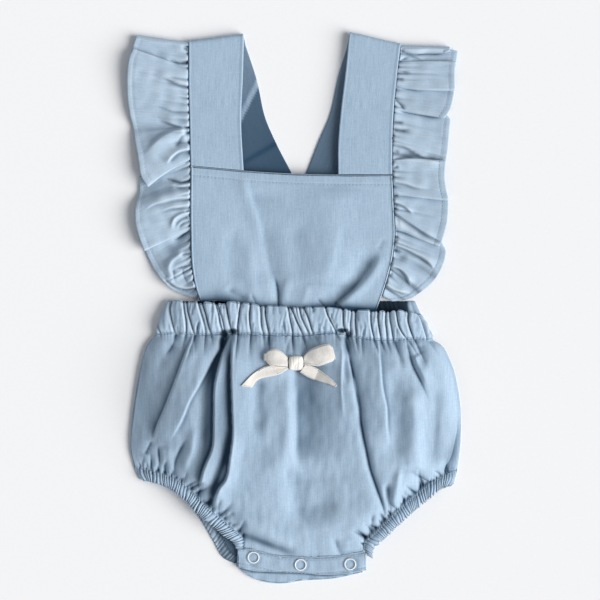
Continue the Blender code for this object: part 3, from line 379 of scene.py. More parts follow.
# fine gathers beside a seam: phase counts them along it, away is how far from it
def gathers(phase, away, deep, short, long, seed):
    draw = np.random.default_rng(seed)
    number = np.floor(phase + 0.5).astype(int) - int(np.floor(phase.min())) + 1
    depth = draw.uniform(0.35, 1.0, number.max() + 2)[number] * deep
    length = (short + (long - short) * draw.uniform(0, 1, number.max() + 2) ** 2)[number]
    puff = np.abs(np.sin(math.pi * phase)) ** 1.5
    valleys = depth * pinched(phase) ** 1.6 * fading(away, length)
    return 0.35 * deep * puff * fading(away, 0.5 * length) - valleys


# number of gathers up to u, unevenly spaced
def gatherPhase(u, count, seed):
    return count * (u + 0.0085 * np.sin(2 * math.pi * (3.1 * u + 0.13 * seed))
                    + 0.0052 * np.sin(2 * math.pi * (7.3 * u + 0.37 * seed))
                    + 0.0026 * np.sin(2 * math.pi * (15.7 * u + 0.71 * seed)))


# materials


def toLinear(colour):
    parts = [int(colour[i:i + 2], 16) / 255 for i in (1, 3, 5)]
    return tuple(c / 12.92 if c <= 0.04045 else ((c + 0.055) / 1.055) ** 2.4 for c in parts) + (1.0,)


# adds a node: settings are its attributes, values its sockets, links the sockets it is fed from
def addNode(tree, kind, settings=(), values=(), links=()):
    node = tree.nodes.new(kind)
    for name, value in dict(settings).items():
        setattr(node, name, value)
    for name, value in dict(values).items():
        node.inputs[name].default_value = value
    for name, socket in dict(links).items():
        tree.links.new(socket, node.inputs[name])
    return node


def newMaterial(name):
    made = bpy.data.materials.new(name)
    made.use_nodes = True
    return made, made.node_tree, made.node_tree.nodes["Principled BSDF"]


# Yarn-dyed cotton chambray, plain weave, washed: blue warp and white weft give a pale heathered blue with
# fine slubs along the warp, matt with a faint bloom of loose fibre; painted shade in folds, painted highlight
# and wear on ridges.
def makeChambray():
    # deep is the colour of painted shade in folds, unlit of the near-black painted where no light reaches,
    # wornAndHighlit of wear and painted highlight
    colours = {"warp": "#94AFC7", "weft": "#BACEDF", "deep": "#27465F", "unlit": "#0E171D", "wornAndHighlit": "#D4E0E9",
               "sheen": "#DDE8F0"}
    # Each noise's scale per metre across and along the warp, detail, roughness and share. Warp slubs are
    # about 0.9 mm wide and 16 mm long, weft ones 7 mm long; then heather, and the fading of the wash.
    noises = (((1100, 62, 1), 2.0, 0.6, 0.50), ((130, 1250, 1), 1.0, 0.5, 0.14),
              ((900, 620, 1), 1.0, 0.5, 0.30), ((26, 16, 1), 2.0, 0.5, 0.12))
    made, tree, shader = newMaterial("washed_cotton_chambray")
    grain = addNode(tree, "ShaderNodeUVMap", {"uv_map": "grain"})
    sums = []
    for scale, detail, roughness, share in noises:
        place = addNode(tree, "ShaderNodeMapping", values={"Scale": scale},
                        links={"Vector": grain.outputs["UV"]})
        noise = addNode(tree, "ShaderNodeTexNoise", {"noise_dimensions": "2D"},
                        {"Scale": 1.0, "Detail": detail, "Roughness": roughness},
                        {"Vector": place.outputs["Vector"]})
        links = {0: noise.outputs["Fac"], **({2: sums[-1].outputs[0]} if sums else {})}
        sums.append(addNode(tree, "ShaderNodeMath", {"operation": "MULTIPLY_ADD"}, {1: share}, links))
    sums[0].inputs[2].default_value = 0.05
    yarn = addNode(tree, "ShaderNodeMapRange", values={"From Min": 0.32, "From Max": 0.84},
                   links={"Value": sums[-1].outputs[0]})
    base = addNode(tree, "ShaderNodeMix", {"data_type": "RGBA"},
                   {6: toLinear(colours["warp"]), 7: toLinear(colours["weft"])}, {0: yarn.outputs["Result"]})
    paintedShade = addNode(tree, "ShaderNodeAttribute", {"attribute_name": "paintedShade"})
    paintedBlackness = addNode(tree, "ShaderNodeMath", {"operation": "SUBTRACT", "use_clamp": True}, {1: 1.0},
                     {0: paintedShade.outputs["Fac"]})     # painted shade runs on from 1 to 2, towards near-black, where hardly any light reaches
    wearAndHighlight = addNode(tree, "ShaderNodeAttribute", {"attribute_name": "wearAndHighlight"})
    # mixed over the yarn's colour: painted shade, then painted near-black, then the paler tint of wear and
    # painted highlight
    colour = base.outputs[2]
    for share, name in ((paintedShade.outputs["Fac"], "deep"), (paintedBlackness.outputs[0], "unlit"),
                        (wearAndHighlight.outputs["Fac"], "wornAndHighlit")):
        colour = addNode(tree, "ShaderNodeMix", {"data_type": "RGBA"}, {7: toLinear(colours[name])},
                         {0: share, 6: colour}).outputs[2]
    tree.links.new(colour, shader.inputs["Base Color"])
    bump = addNode(tree, "ShaderNodeBump", values={"Strength": 0.22, "Distance": 0.0006},
                   links={"Height": sums[2].outputs[0]})
    tree.links.new(bump.outputs["Normal"], shader.inputs["Normal"])
    shader.inputs["Roughness"].default_value = 0.86
    shader.inputs["Specular IOR Level"].default_value = 0.22
    shader.inputs["Sheen Weight"].default_value = 0.12
    shader.inputs["Sheen Roughness"].default_value = 0.5
    shader.inputs["Sheen Tint"].default_value = toLinear(colours["sheen"])
    return made


# Bleached cotton twill tape, woven narrow with closed edges: warm white with a fine slanting rib, matt.
def makeTape():
    # real ribs are 0.5 mm apart and wouldn't show, so these are 1.5 mm apart
    values = {"light": "#EDEAE5", "dark": "#DCD8D1", "ribPitch": 1.5}
    made, tree, shader = newMaterial("bleached_cotton_tape")
    grain = addNode(tree, "ShaderNodeUVMap", {"uv_map": "grain"})
    ribScale = (1000 / values["ribPitch"] / 6.28, 90, 1)
    place = addNode(tree, "ShaderNodeMapping", values={"Rotation": (0, 0, 0.6), "Scale": ribScale},
                    links={"Vector": grain.outputs["UV"]})
    ribs = addNode(tree, "ShaderNodeTexWave", {"wave_type": "BANDS", "bands_direction": "X"},
                   {"Scale": 0.31, "Distortion": 0.6, "Detail": 1.0}, {"Vector": place.outputs["Vector"]})
    lintPlace = addNode(tree, "ShaderNodeMapping", values={"Scale": (700, 700, 1)},
                        links={"Vector": grain.outputs["UV"]})
    lint = addNode(tree, "ShaderNodeTexNoise", {"noise_dimensions": "2D"}, {"Scale": 1.0, "Detail": 2.0},
                   {"Vector": lintPlace.outputs["Vector"]})
    mixed = addNode(tree, "ShaderNodeMath", {"operation": "MULTIPLY_ADD"}, {1: 0.4},
                    {0: ribs.outputs["Fac"], 2: lint.outputs["Fac"]})
    yarn = addNode(tree, "ShaderNodeMapRange", values={"From Min": 0.3, "From Max": 1.1},
                   links={"Value": mixed.outputs[0]})
    base = addNode(tree, "ShaderNodeMix", {"data_type": "RGBA"},
                   {6: toLinear(values["dark"]), 7: toLinear(values["light"])}, {0: yarn.outputs["Result"]})
    tree.links.new(base.outputs[2], shader.inputs["Base Color"])
    bump = addNode(tree, "ShaderNodeBump", values={"Strength": 0.35, "Distance": 0.0004},
                   links={"Height": mixed.outputs[0]})
    tree.links.new(bump.outputs["Normal"], shader.inputs["Normal"])
    shader.inputs["Roughness"].default_value = 0.85
    shader.inputs["Specular IOR Level"].default_value = 0.25
    shader.inputs["Sheen Weight"].default_value = 0.1
    return made


# Enamelled brass ring of a press snap: hard glossy white coat, slightly uneven as stoved enamel is.
def makeEnamel():
    made, tree, shader = newMaterial("stoved_white_enamel")
    place = addNode(tree, "ShaderNodeTexCoord")
    cloud = addNode(tree, "ShaderNodeTexNoise", values={"Scale": 900.0, "Detail": 2.0},
                    links={"Vector": place.outputs["Object"]})
    base = addNode(tree, "ShaderNodeMix", {"data_type": "RGBA"},
                   {6: toLinear("#F1F3F4"), 7: toLinear("#FDFDFC")}, {0: cloud.outputs["Fac"]})
    tree.links.new(base.outputs[2], shader.inputs["Base Color"])
    shader.inputs["Roughness"].default_value = 0.28
    shader.inputs["IOR"].default_value = 1.5
    return made


# Spun cotton sewing thread in the cloth's own blue, a little paler: matt, slightly mottled by its twist.
def makeThread():
    made, tree, shader = newMaterial("spun_cotton_thread")
    place = addNode(tree, "ShaderNodeTexCoord")
    twist = addNode(tree, "ShaderNodeTexNoise", values={"Scale": 1250.0, "Detail": 1.0},
                    links={"Vector": place.outputs["Object"]})     # it repeats every 0.8 mm
    base = addNode(tree, "ShaderNodeMix", {"data_type": "RGBA"},
                   {6: toLinear("#A9BCCB"), 7: toLinear("#CAD8E2")}, {0: twist.outputs["Fac"]})
    tree.links.new(base.outputs[2], shader.inputs["Base Color"])
    shader.inputs["Roughness"].default_value = 0.8
    shader.inputs["Sheen Weight"].default_value = 0.1
    return made


chambray = makeChambray()
tape = makeTape()
enamel = makeEnamel()
thread = makeThread()
print("materials made")

# meshes


# cloth's face and underside drawn together at the rim, so the edge is rounded like a turned hem, but not
# on the sides that are sewn on to the next piece
def roundRim(face, back, sewn):
    j, i = np.indices(face.shape[:2])
    inward = {"top": j, "bottom": j.max() - j, "left": i, "right": i.max() - i}
    ring = np.min([steps for side, steps in inward.items() if side not in sewn] + [j + i + 2], axis=0)
    share = np.where(ring == 0, 0.35, np.where(ring == 1, 0.84, 1.0))[..., None]
    middle = (face + back) / 2
    return middle + (face - middle) * share, middle + (back - middle) * share


# faces between neighbouring points of a grid, turned over for an underside
def gridFaces(ids, turnedOver):
    faces = np.stack([ids[:-1, :-1], ids[1:, :-1], ids[1:, 1:], ids[:-1, 1:]], axis=-1).reshape(-1, 4)
    return (faces[:, [0, 3, 2, 1]] if turnedOver else faces).tolist()


# puts a finished mesh into the scene, to ride with the garment
def placed(name, mesh, finish):
    mesh.shade_smooth()
    mesh.materials.append(finish)
    made = bpy.data.objects.new(name, mesh)
    bpy.context.scene.collection.objects.link(made)
    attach(made, "root")
    return made


def rimOf(ids):
    return np.concatenate([ids[0, :-1], ids[:-1, -1], ids[-1, :0:-1], ids[:0:-1, 0]])


# painted shade where each point lies in a hollow, and a paler tint on ridges for both rubbed wear and painted
# highlight, both 0 to 1
def paintedShadeAndWearOf(z, fine, coarse, depth):
    near, wide = blurred(z, fine) - z, blurred(z, coarse) - z
    paintedShade = np.clip(near / (0.5 * depth), 0, 1) * 0.55 + np.clip(wide / (1.6 * depth), 0, 1) * 0.5
    wearAndHighlight = np.clip(-near / (0.6 * depth), 0, 1) * 0.5
    return np.clip(paintedShade, 0, 0.9), wearAndHighlight


# a closed piece of cloth from its face and underside; every other point of the underside is left out
# when thin is 2
# paintedShade and inner give the painted shade of its face and of its underside, wearAndHighlight its paler
# tint of wear and painted highlight
def clothPiece(name, face, back, grain, finish, paintedShade=0.0, wearAndHighlight=0.0, thin=1, sewn=(), inner=0.0):
    face, back = roundRim(face, back, sewn)
    back, grainBack = back[::thin, ::thin], grain[::thin, ::thin]
    top = np.arange(face[..., 0].size).reshape(face.shape[:2])
    under = top.size + np.arange(back[..., 0].size).reshape(back.shape[:2])
    faces = gridFaces(top, False) + gridFaces(under, True)
    a, b = rimOf(top), rimOf(under)
    onward = np.roll(b, -1)
    if thin == 1:
        faces += np.stack([np.roll(a, -1), a, b, onward], axis=1).tolist()
    else:
        first, mid, last = a[::2], a[1::2], np.roll(a, -2)[::2]
        faces += np.stack([mid, first, b], axis=1).tolist() + np.stack([mid, b, onward], axis=1).tolist()
        faces += np.stack([last, mid, onward], axis=1).tolist()
    points = np.concatenate([face.reshape(-1, 3), back.reshape(-1, 3)]) * mm
    mesh = bpy.data.meshes.new(name)
    mesh.from_pydata(points.tolist(), [], faces)
    shape = bmesh.new()
    shape.from_mesh(mesh)
    bmesh.ops.recalc_face_normals(shape, faces=shape.faces)
    shape.to_mesh(mesh)
    shape.free()
    index = np.zeros(len(mesh.loops), dtype=np.int32)
    mesh.loops.foreach_get("vertex_index", index)
    uv = np.concatenate([grain.reshape(-1, 2), grainBack.reshape(-1, 2)]) * mm
    mesh.uv_layers.new(name="grain").data.foreach_set("uv", uv[index].astype(np.float32).ravel())
    plain = np.zeros(grain.shape[:2])
    for label, upper, lower in (("paintedShade", paintedShade, inner), ("wearAndHighlight", wearAndHighlight, 0.0)):
        whole = np.concatenate([(plain + upper).ravel(), (plain + lower)[::thin, ::thin].ravel()])
        mesh.attributes.new(label, "FLOAT", "POINT").data.foreach_set("value", whole.astype(np.float32))
    return placed(name, mesh, finish)


# stitches

stitchSettings = {"long": 1.9, "thick": 0.42, "high": 0.3, "pitch": 2.9, "sunk": 0.02}


# one stitch, a small ball drawn out along X; a row is copies of it joined into one mesh
def makeStitch():
    b = stitchSettings
    bpy.ops.object.select_all(action="DESELECT")
    bpy.ops.mesh.primitive_uv_sphere_add(segments=8, ring_count=5, radius=0.5, location=(0, 0, 0))
    stitch = bpy.context.object
    bpy.ops.object.mode_set(mode="EDIT")
    bpy.ops.mesh.select_all(action="SELECT")
    bpy.ops.transform.resize(value=(b["long"], b["thick"], b["high"]))
    bpy.ops.object.mode_set(mode="OBJECT")
    points = np.array([vertex.co for vertex in stitch.data.vertices])
    faces = [tuple(face.vertices) for face in stitch.data.polygons]
    bpy.data.objects.remove(stitch)
    return points, faces


# points on the rows of a grid where a measure that grows along them reaches a value
def lineAt(face, measure, value):
    return np.array([[np.interp(value, m, row[:, k]) for k in range(3)] for row, m in zip(face, measure)])


def sewStitches(name, lines):
    b = stitchSettings
    ball, faces = makeStitch()
    points, joined = [], []
    for line in lines:
        runs = runOf(line)
        for at in np.arange(b["pitch"] / 2, runs[-1] - b["pitch"] / 2, b["pitch"]):
            start, middle, end = (np.array([np.interp(at + off, runs, line[:, k]) for k in range(3)])
                                  for off in (-b["long"] / 2, 0, b["long"] / 2))
            run = (end - start) / max(np.linalg.norm(end - start), 1e-6)
            side = np.cross((0, 0, 1.0), run)
            side /= max(np.linalg.norm(side), 1e-6)
            joined += [tuple(corner + len(points) * len(ball) for corner in face) for face in faces]
            raised = middle + (0, 0, b["high"] / 2 - b["sunk"])
            points.append(raised + ball @ np.array([run, side, np.cross(run, side)]))
    mesh = bpy.data.meshes.new(name)
    mesh.from_pydata((np.concatenate(points) * mm).tolist(), [], joined)
    made = placed(name, mesh, thread)
    return made


# hides the frame's solid that a piece of cloth stands for; declares a piece of cloth that stands for its
# solid: its cut is as long as given, and as wide as its area asks for
def sew(made, node):
    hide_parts(node)


# shared edges


def waistHeight(s):
    return layers["sideSeam"] + (layers["waist"] - layers["sideSeam"]) * bulge(s, 4)


waistSeam = path({**waistFront, "bottom": waistFront["bottom"] - layers["seam"]}, "x", "bottom")
placketSeam = stretch(path({**placketFront, "z": np.full(7, layers["crotch"])}, "x", "seam", "z"), 0.052, 0.978)

# the last stretch of each casing, where it runs on past the panel's corner to the placket
casingEnds = {"left": (-46.4, -191.4, -40.3, -190.9, 5.2), "right": (62.8, -199.4, 58.2, -196.6, 4.6)}
backCasingEnd = (-47.4, -203.6, -41.0, -197.6)     # of the left one, under the back placket's end
legSeeds = {"left": 9, "right": 5}     # each leg's gathers, on the casing and on the panel's side of the seam


def withEnd(rows, end):
    return {column: np.append(values, last) for (column, values), last in zip(rows.items(), end)}


def seamLength(rows):
    return np.hypot(np.diff(rows["seam_x"]), np.diff(rows["seam_y"])).sum()


# a panel's own share of the seam that its casing runs along, so that both follow one curve
def panelSeam(rows, end, *columns):
    longer = withEnd(rows, end)
    return stretch(path(longer, *columns), 0, seamLength(rows) / seamLength(longer))


legLeftSeam = panelSeam(legFrontLeft, casingEnds["left"], "seam_x", "seam_y", "z")
legRightSeam = panelSeam(legFrontRight, casingEnds["right"], "seam_x", "seam_y", "z")


# straight step from the end of one curve to the start of the next
def stepTo(curve, onward):
    start, end = curve(np.array([1.0]))[0], onward(np.array([0.0]))[0]
    return lambda at: start + (end - start) * np.asarray(at, float)[..., None]


# a panel's lower edge: down the left leg, a step, along the crotch, a step, and up the right leg
def hemOf(left, crotch, right, share, step):
    up = stretch(right, 1, 0)
    return chain((0, share, left), (share, share + step, stepTo(left, crotch)),
                 (share + step, 1 - share - step, crotch),
                 (1 - share - step, 1 - share, stepTo(crotch, up)), (1 - share, 1, up))


legShare, cornerRun = 0.35, 0.012     # shares of the front panel's lower edge: each leg, and each step
frontHem = hemOf(legLeftSeam, placketSeam, legRightSeam, legShare, cornerRun)

# pinched lines of the waistband's gathers: x at its top, middle and bottom, the part of its height that
# each takes, and how deep it is
waistValleys = table("top middle bottom start end deep",
    (-104.0, -105.5, -106.5, 0.0, 1.0, 0.4), (-96.6, -97.6, -94.4, 0.0, 1.0, 0.8),
    (-93.0, -93.2, -93.0, 0.72, 1.0, 0.7),
    (-88.0, -86.6, -85.9, 0.0, 1.0, 1.0), (-84.8, -83.3, -79.2, 0.0, 1.0, 0.9),
    (-79.0, -80.0, -81.0, 0.0, 0.25, 0.6),
    (-76.2, -72.6, -70.5, 0.0, 1.0, 0.9), (-75.0, -75.6, -77.8, 0.55, 1.0, 1.2),
    (-72.3, -69.5, -65.5, 0.0, 1.0, 0.9),
    (-62.6, -59.5, -56.6, 0.0, 1.0, 1.0), (-60.6, -57.6, -54.6, 0.0, 1.0, 0.7),
    (-56.8, -56.4, -56.0, 0.0, 0.22, 0.8),
    (-54.1, -52.2, -48.6, 0.0, 1.0, 1.0), (-42.2, -44.4, -44.2, 0.0, 1.0, 1.3),
    (-35.1, -35.0, -34.4, 0.0, 1.0, 1.1),
    (-31.0, -31.0, -31.4, 0.7, 1.0, 0.6), (-26.9, -26.2, -24.1, 0.0, 1.0, 1.1),
    (-22.6, -21.9, -20.1, 0.0, 1.0, 1.1),
    (-12.2, -12.0, -11.8, 0.0, 0.3, 0.5), (-16.0, -16.2, -16.8, 0.75, 1.0, 0.6),
    (-8.4, -8.0, -7.4, 0.45, 1.0, 0.7),
    (-4.9, -2.6, -1.4, 0.0, 1.0, 1.1), (-1.8, 2.5, 6.6, 0.0, 1.0, 1.2), (1.0, 4.6, 8.6, 0.0, 0.6, 0.8),
    (4.3, 7.5, 11.8, 0.0, 1.0, 0.9), (8.5, 11.9, 15.8, 0.0, 1.0, 1.0), (14.8, 14.4, 14.0, 0.0, 0.25, 0.8),
    (19.4, 19.4, 19.4, 0.75, 1.0, 0.7), (25.3, 28.9, 33.4, 0.0, 1.0, 1.3), (28.0, 31.0, 34.6, 0.15, 0.9, 0.7),
    (39.1, 39.4, 42.0, 0.0, 1.0, 1.2), (42.8, 43.4, 43.8, 0.0, 0.55, 0.9), (45.4, 45.2, 45.4, 0.0, 1.0, 0.9),
    (49.0, 49.4, 49.2, 0.0, 1.0, 1.2), (57.4, 56.2, 54.2, 0.6, 1.0, 0.8), (60.9, 61.8, 63.4, 0.0, 1.0, 1.2),
    (63.8, 64.2, 64.8, 0.0, 0.28, 0.7), (67.0, 67.8, 69.0, 0.0, 1.0, 1.4), (73.2, 73.4, 73.9, 0.0, 1.0, 1.1),
    (76.6, 77.2, 79.3, 0.0, 1.0, 1.1), (81.2, 83.6, 89.6, 0.0, 1.0, 1.0), (91.1, 91.8, 95.0, 0.0, 1.0, 1.3),
    (98.6, 101.6, 106.6, 0.0, 1.0, 0.8), (101.4, 104.6, 108.6, 0.35, 1.0, 0.7))

bandSettings = {"shoulder": 2.2, "puffLeast": 1.0, "puffGrow": 0.22, "puffMost": 2.6, "dip": 1.3, "fade": 0.12,
                "end": 128, "shortPinches": 50, "shortLeast": 0.18, "shortMost": 0.5}

# openings of the two pleats under the band, where no light reaches: middle, half sizes and how dark
waistHoles = table("x y wide high dark", (-48.8, -17.6, 3.8, 2.2, 0.95), (-55.8, -19.6, 3.2, 3.4, 0.9),
                   (-57.4, -27.0, 2.2, 7.0, 0.7), (38.6, -17.0, 4.8, 1.7, 0.95), (43.4, -20.0, 2.4, 3.0, 0.8))
openingDeep, openingDark = 3.0, 1.8     # how far they go in, and their dark at its fullest


def holeDepth(plan):
    depth = np.zeros(plan.shape[:-1])
    for x, y, wide, high, dark in zip(*waistHoles.values()):
        far = np.hypot((plan[..., 0] - x) / wide, (plan[..., 1] - y) / high)
        depth = np.maximum(depth, dark * fading(far, 1, 3))
    return depth


# short pinches that run in from the band's edges between the long ones
def shortPinches():
    b, draw = bandSettings, np.random.default_rng(77)
    rows = []
    for x in np.linspace(-107, 107, b["shortPinches"]):
        at, slant = x + draw.uniform(-1.8, 1.8), draw.uniform(-1.6, 1.6)
        run = draw.uniform(b["shortLeast"], b["shortMost"])
        start, end = (0.0, run) if draw.uniform() < 0.45 else (1 - run, 1.0)
        rows.append((at - slant, at, at + slant, start, end, draw.uniform(0.35, 0.85)))
    return rows


# Puffs between the pinched lines at each point of the band, w running from its top edge to its
# bottom: how far the cloth stands up there, how pinched it is and how far the next pinched line is.
def bandPuffs(x, w):
    b, draw = bandSettings, np.random.default_rng(21)
    lines = []
    for top, middle, bottom, start, end, deep in [*zip(*waistValleys.values()), *shortPinches()]:
        at = top * (1 - w) * (1 - 2 * w) + 4 * middle * w * (1 - w) + bottom * w * (2 * w - 1)
        at = at + 0.35 * np.sin(2.1 * top + 6.0 * w)
        fade = ease((w - start) / b["fade"] + (start == 0)) * ease((end - w) / b["fade"] + (end == 1))
        lines.append((at, deep * fade, end - start == 1))
    high, near = np.zeros_like(x), np.full_like(x, 99.0)
    dips, closeness = np.zeros_like(x), np.zeros_like(x)
    whole = sorted([at for at, deep, full in lines if full], key=lambda at: at.mean())
    whole = [x * 0 - b["end"], *whole, x * 0 + b["end"]]
    for start, end in zip(whole, whole[1:]):
        gap = np.maximum(end - start, 0.4)
        here = (x >= start) & (x < end)
        tall = np.minimum(b["puffMost"], b["puffLeast"] + b["puffGrow"] * gap) * draw.uniform(0.7, 1.25)
        lean = draw.uniform(-0.35, 0.35)
        share = (x - start) / gap
        high = np.where(here, tall * (1 + lean * (2 * share - 1)), high)
        near = np.where(here, np.minimum(x - start, end - x), near)
    shoulder = np.clip(near / b["shoulder"], 0, 1)
    puff = high * (1 - (1 - shoulder) ** 2) ** 0.7
    for at, deep, full in lines:
        off = np.abs(x - at)
        dips -= (0.7 if full else b["dip"]) * deep * fading(off, 0.8 if full else 1.0, 1.5)
        closeness = np.maximum(closeness, deep * fading(off, 0.62, 2))
    return puff + dips, np.clip(closeness, 0, 1), near


# how the cloth stands on the waist seam, where the band's gathers are stitched down to the panel's
def waistSeamLift(x):
    puff = bandPuffs(x, np.ones_like(x))[0]
    return 0.45 * puff - 0.3 - 0.6 * pinched(gatherPhase((x + 115) / 230, 62, 7)) ** 1.5


# ribs of a gathered leg at each share of its length: pinched lines, their depths and the puffs' heights
def legRibs(share, seed, skew=0):
    count = casingSettings["gathers"]
    phase = gatherPhase(share, count, seed)
    draw = np.random.default_rng(seed + 40)
    depth = draw.uniform(0.3, 1.15, count + 8)[np.floor(phase + 0.5).astype(int) + 1]
    tall = draw.uniform(0.5, 1.35, count + 8)[np.floor(phase).astype(int) + 1]
    return phase, pinched(phase + skew) ** 1.3, depth, tall


def legSeamLift(share, seed):
    pinch, depth, tall = legRibs(share, seed)[1:]
    return 0.8 * tall * (1 - pinch) - 1.3 * depth * pinch - 0.2


casingSettings = {"columns": 301, "rows": 19, "gathers": 44, "wall": 1.6, "valley": 2.3}

# bloomer front

bloomerSettings = {"columns": 341, "rows": 219, "wide": 230, "high": 170, "wall": 1.2, "faceLeast": 1.8,
                   "backLeast": 1.3}     # no part of its face or underside lies lower than these
bloomerRise = table("down rise",
    (0.0, 0.0), (0.05, 0.42), (0.16, 0.78), (0.35, 1.0),
    (0.6, 0.98), (0.8, 0.74), (0.93, 0.36), (1.0, 0.0))
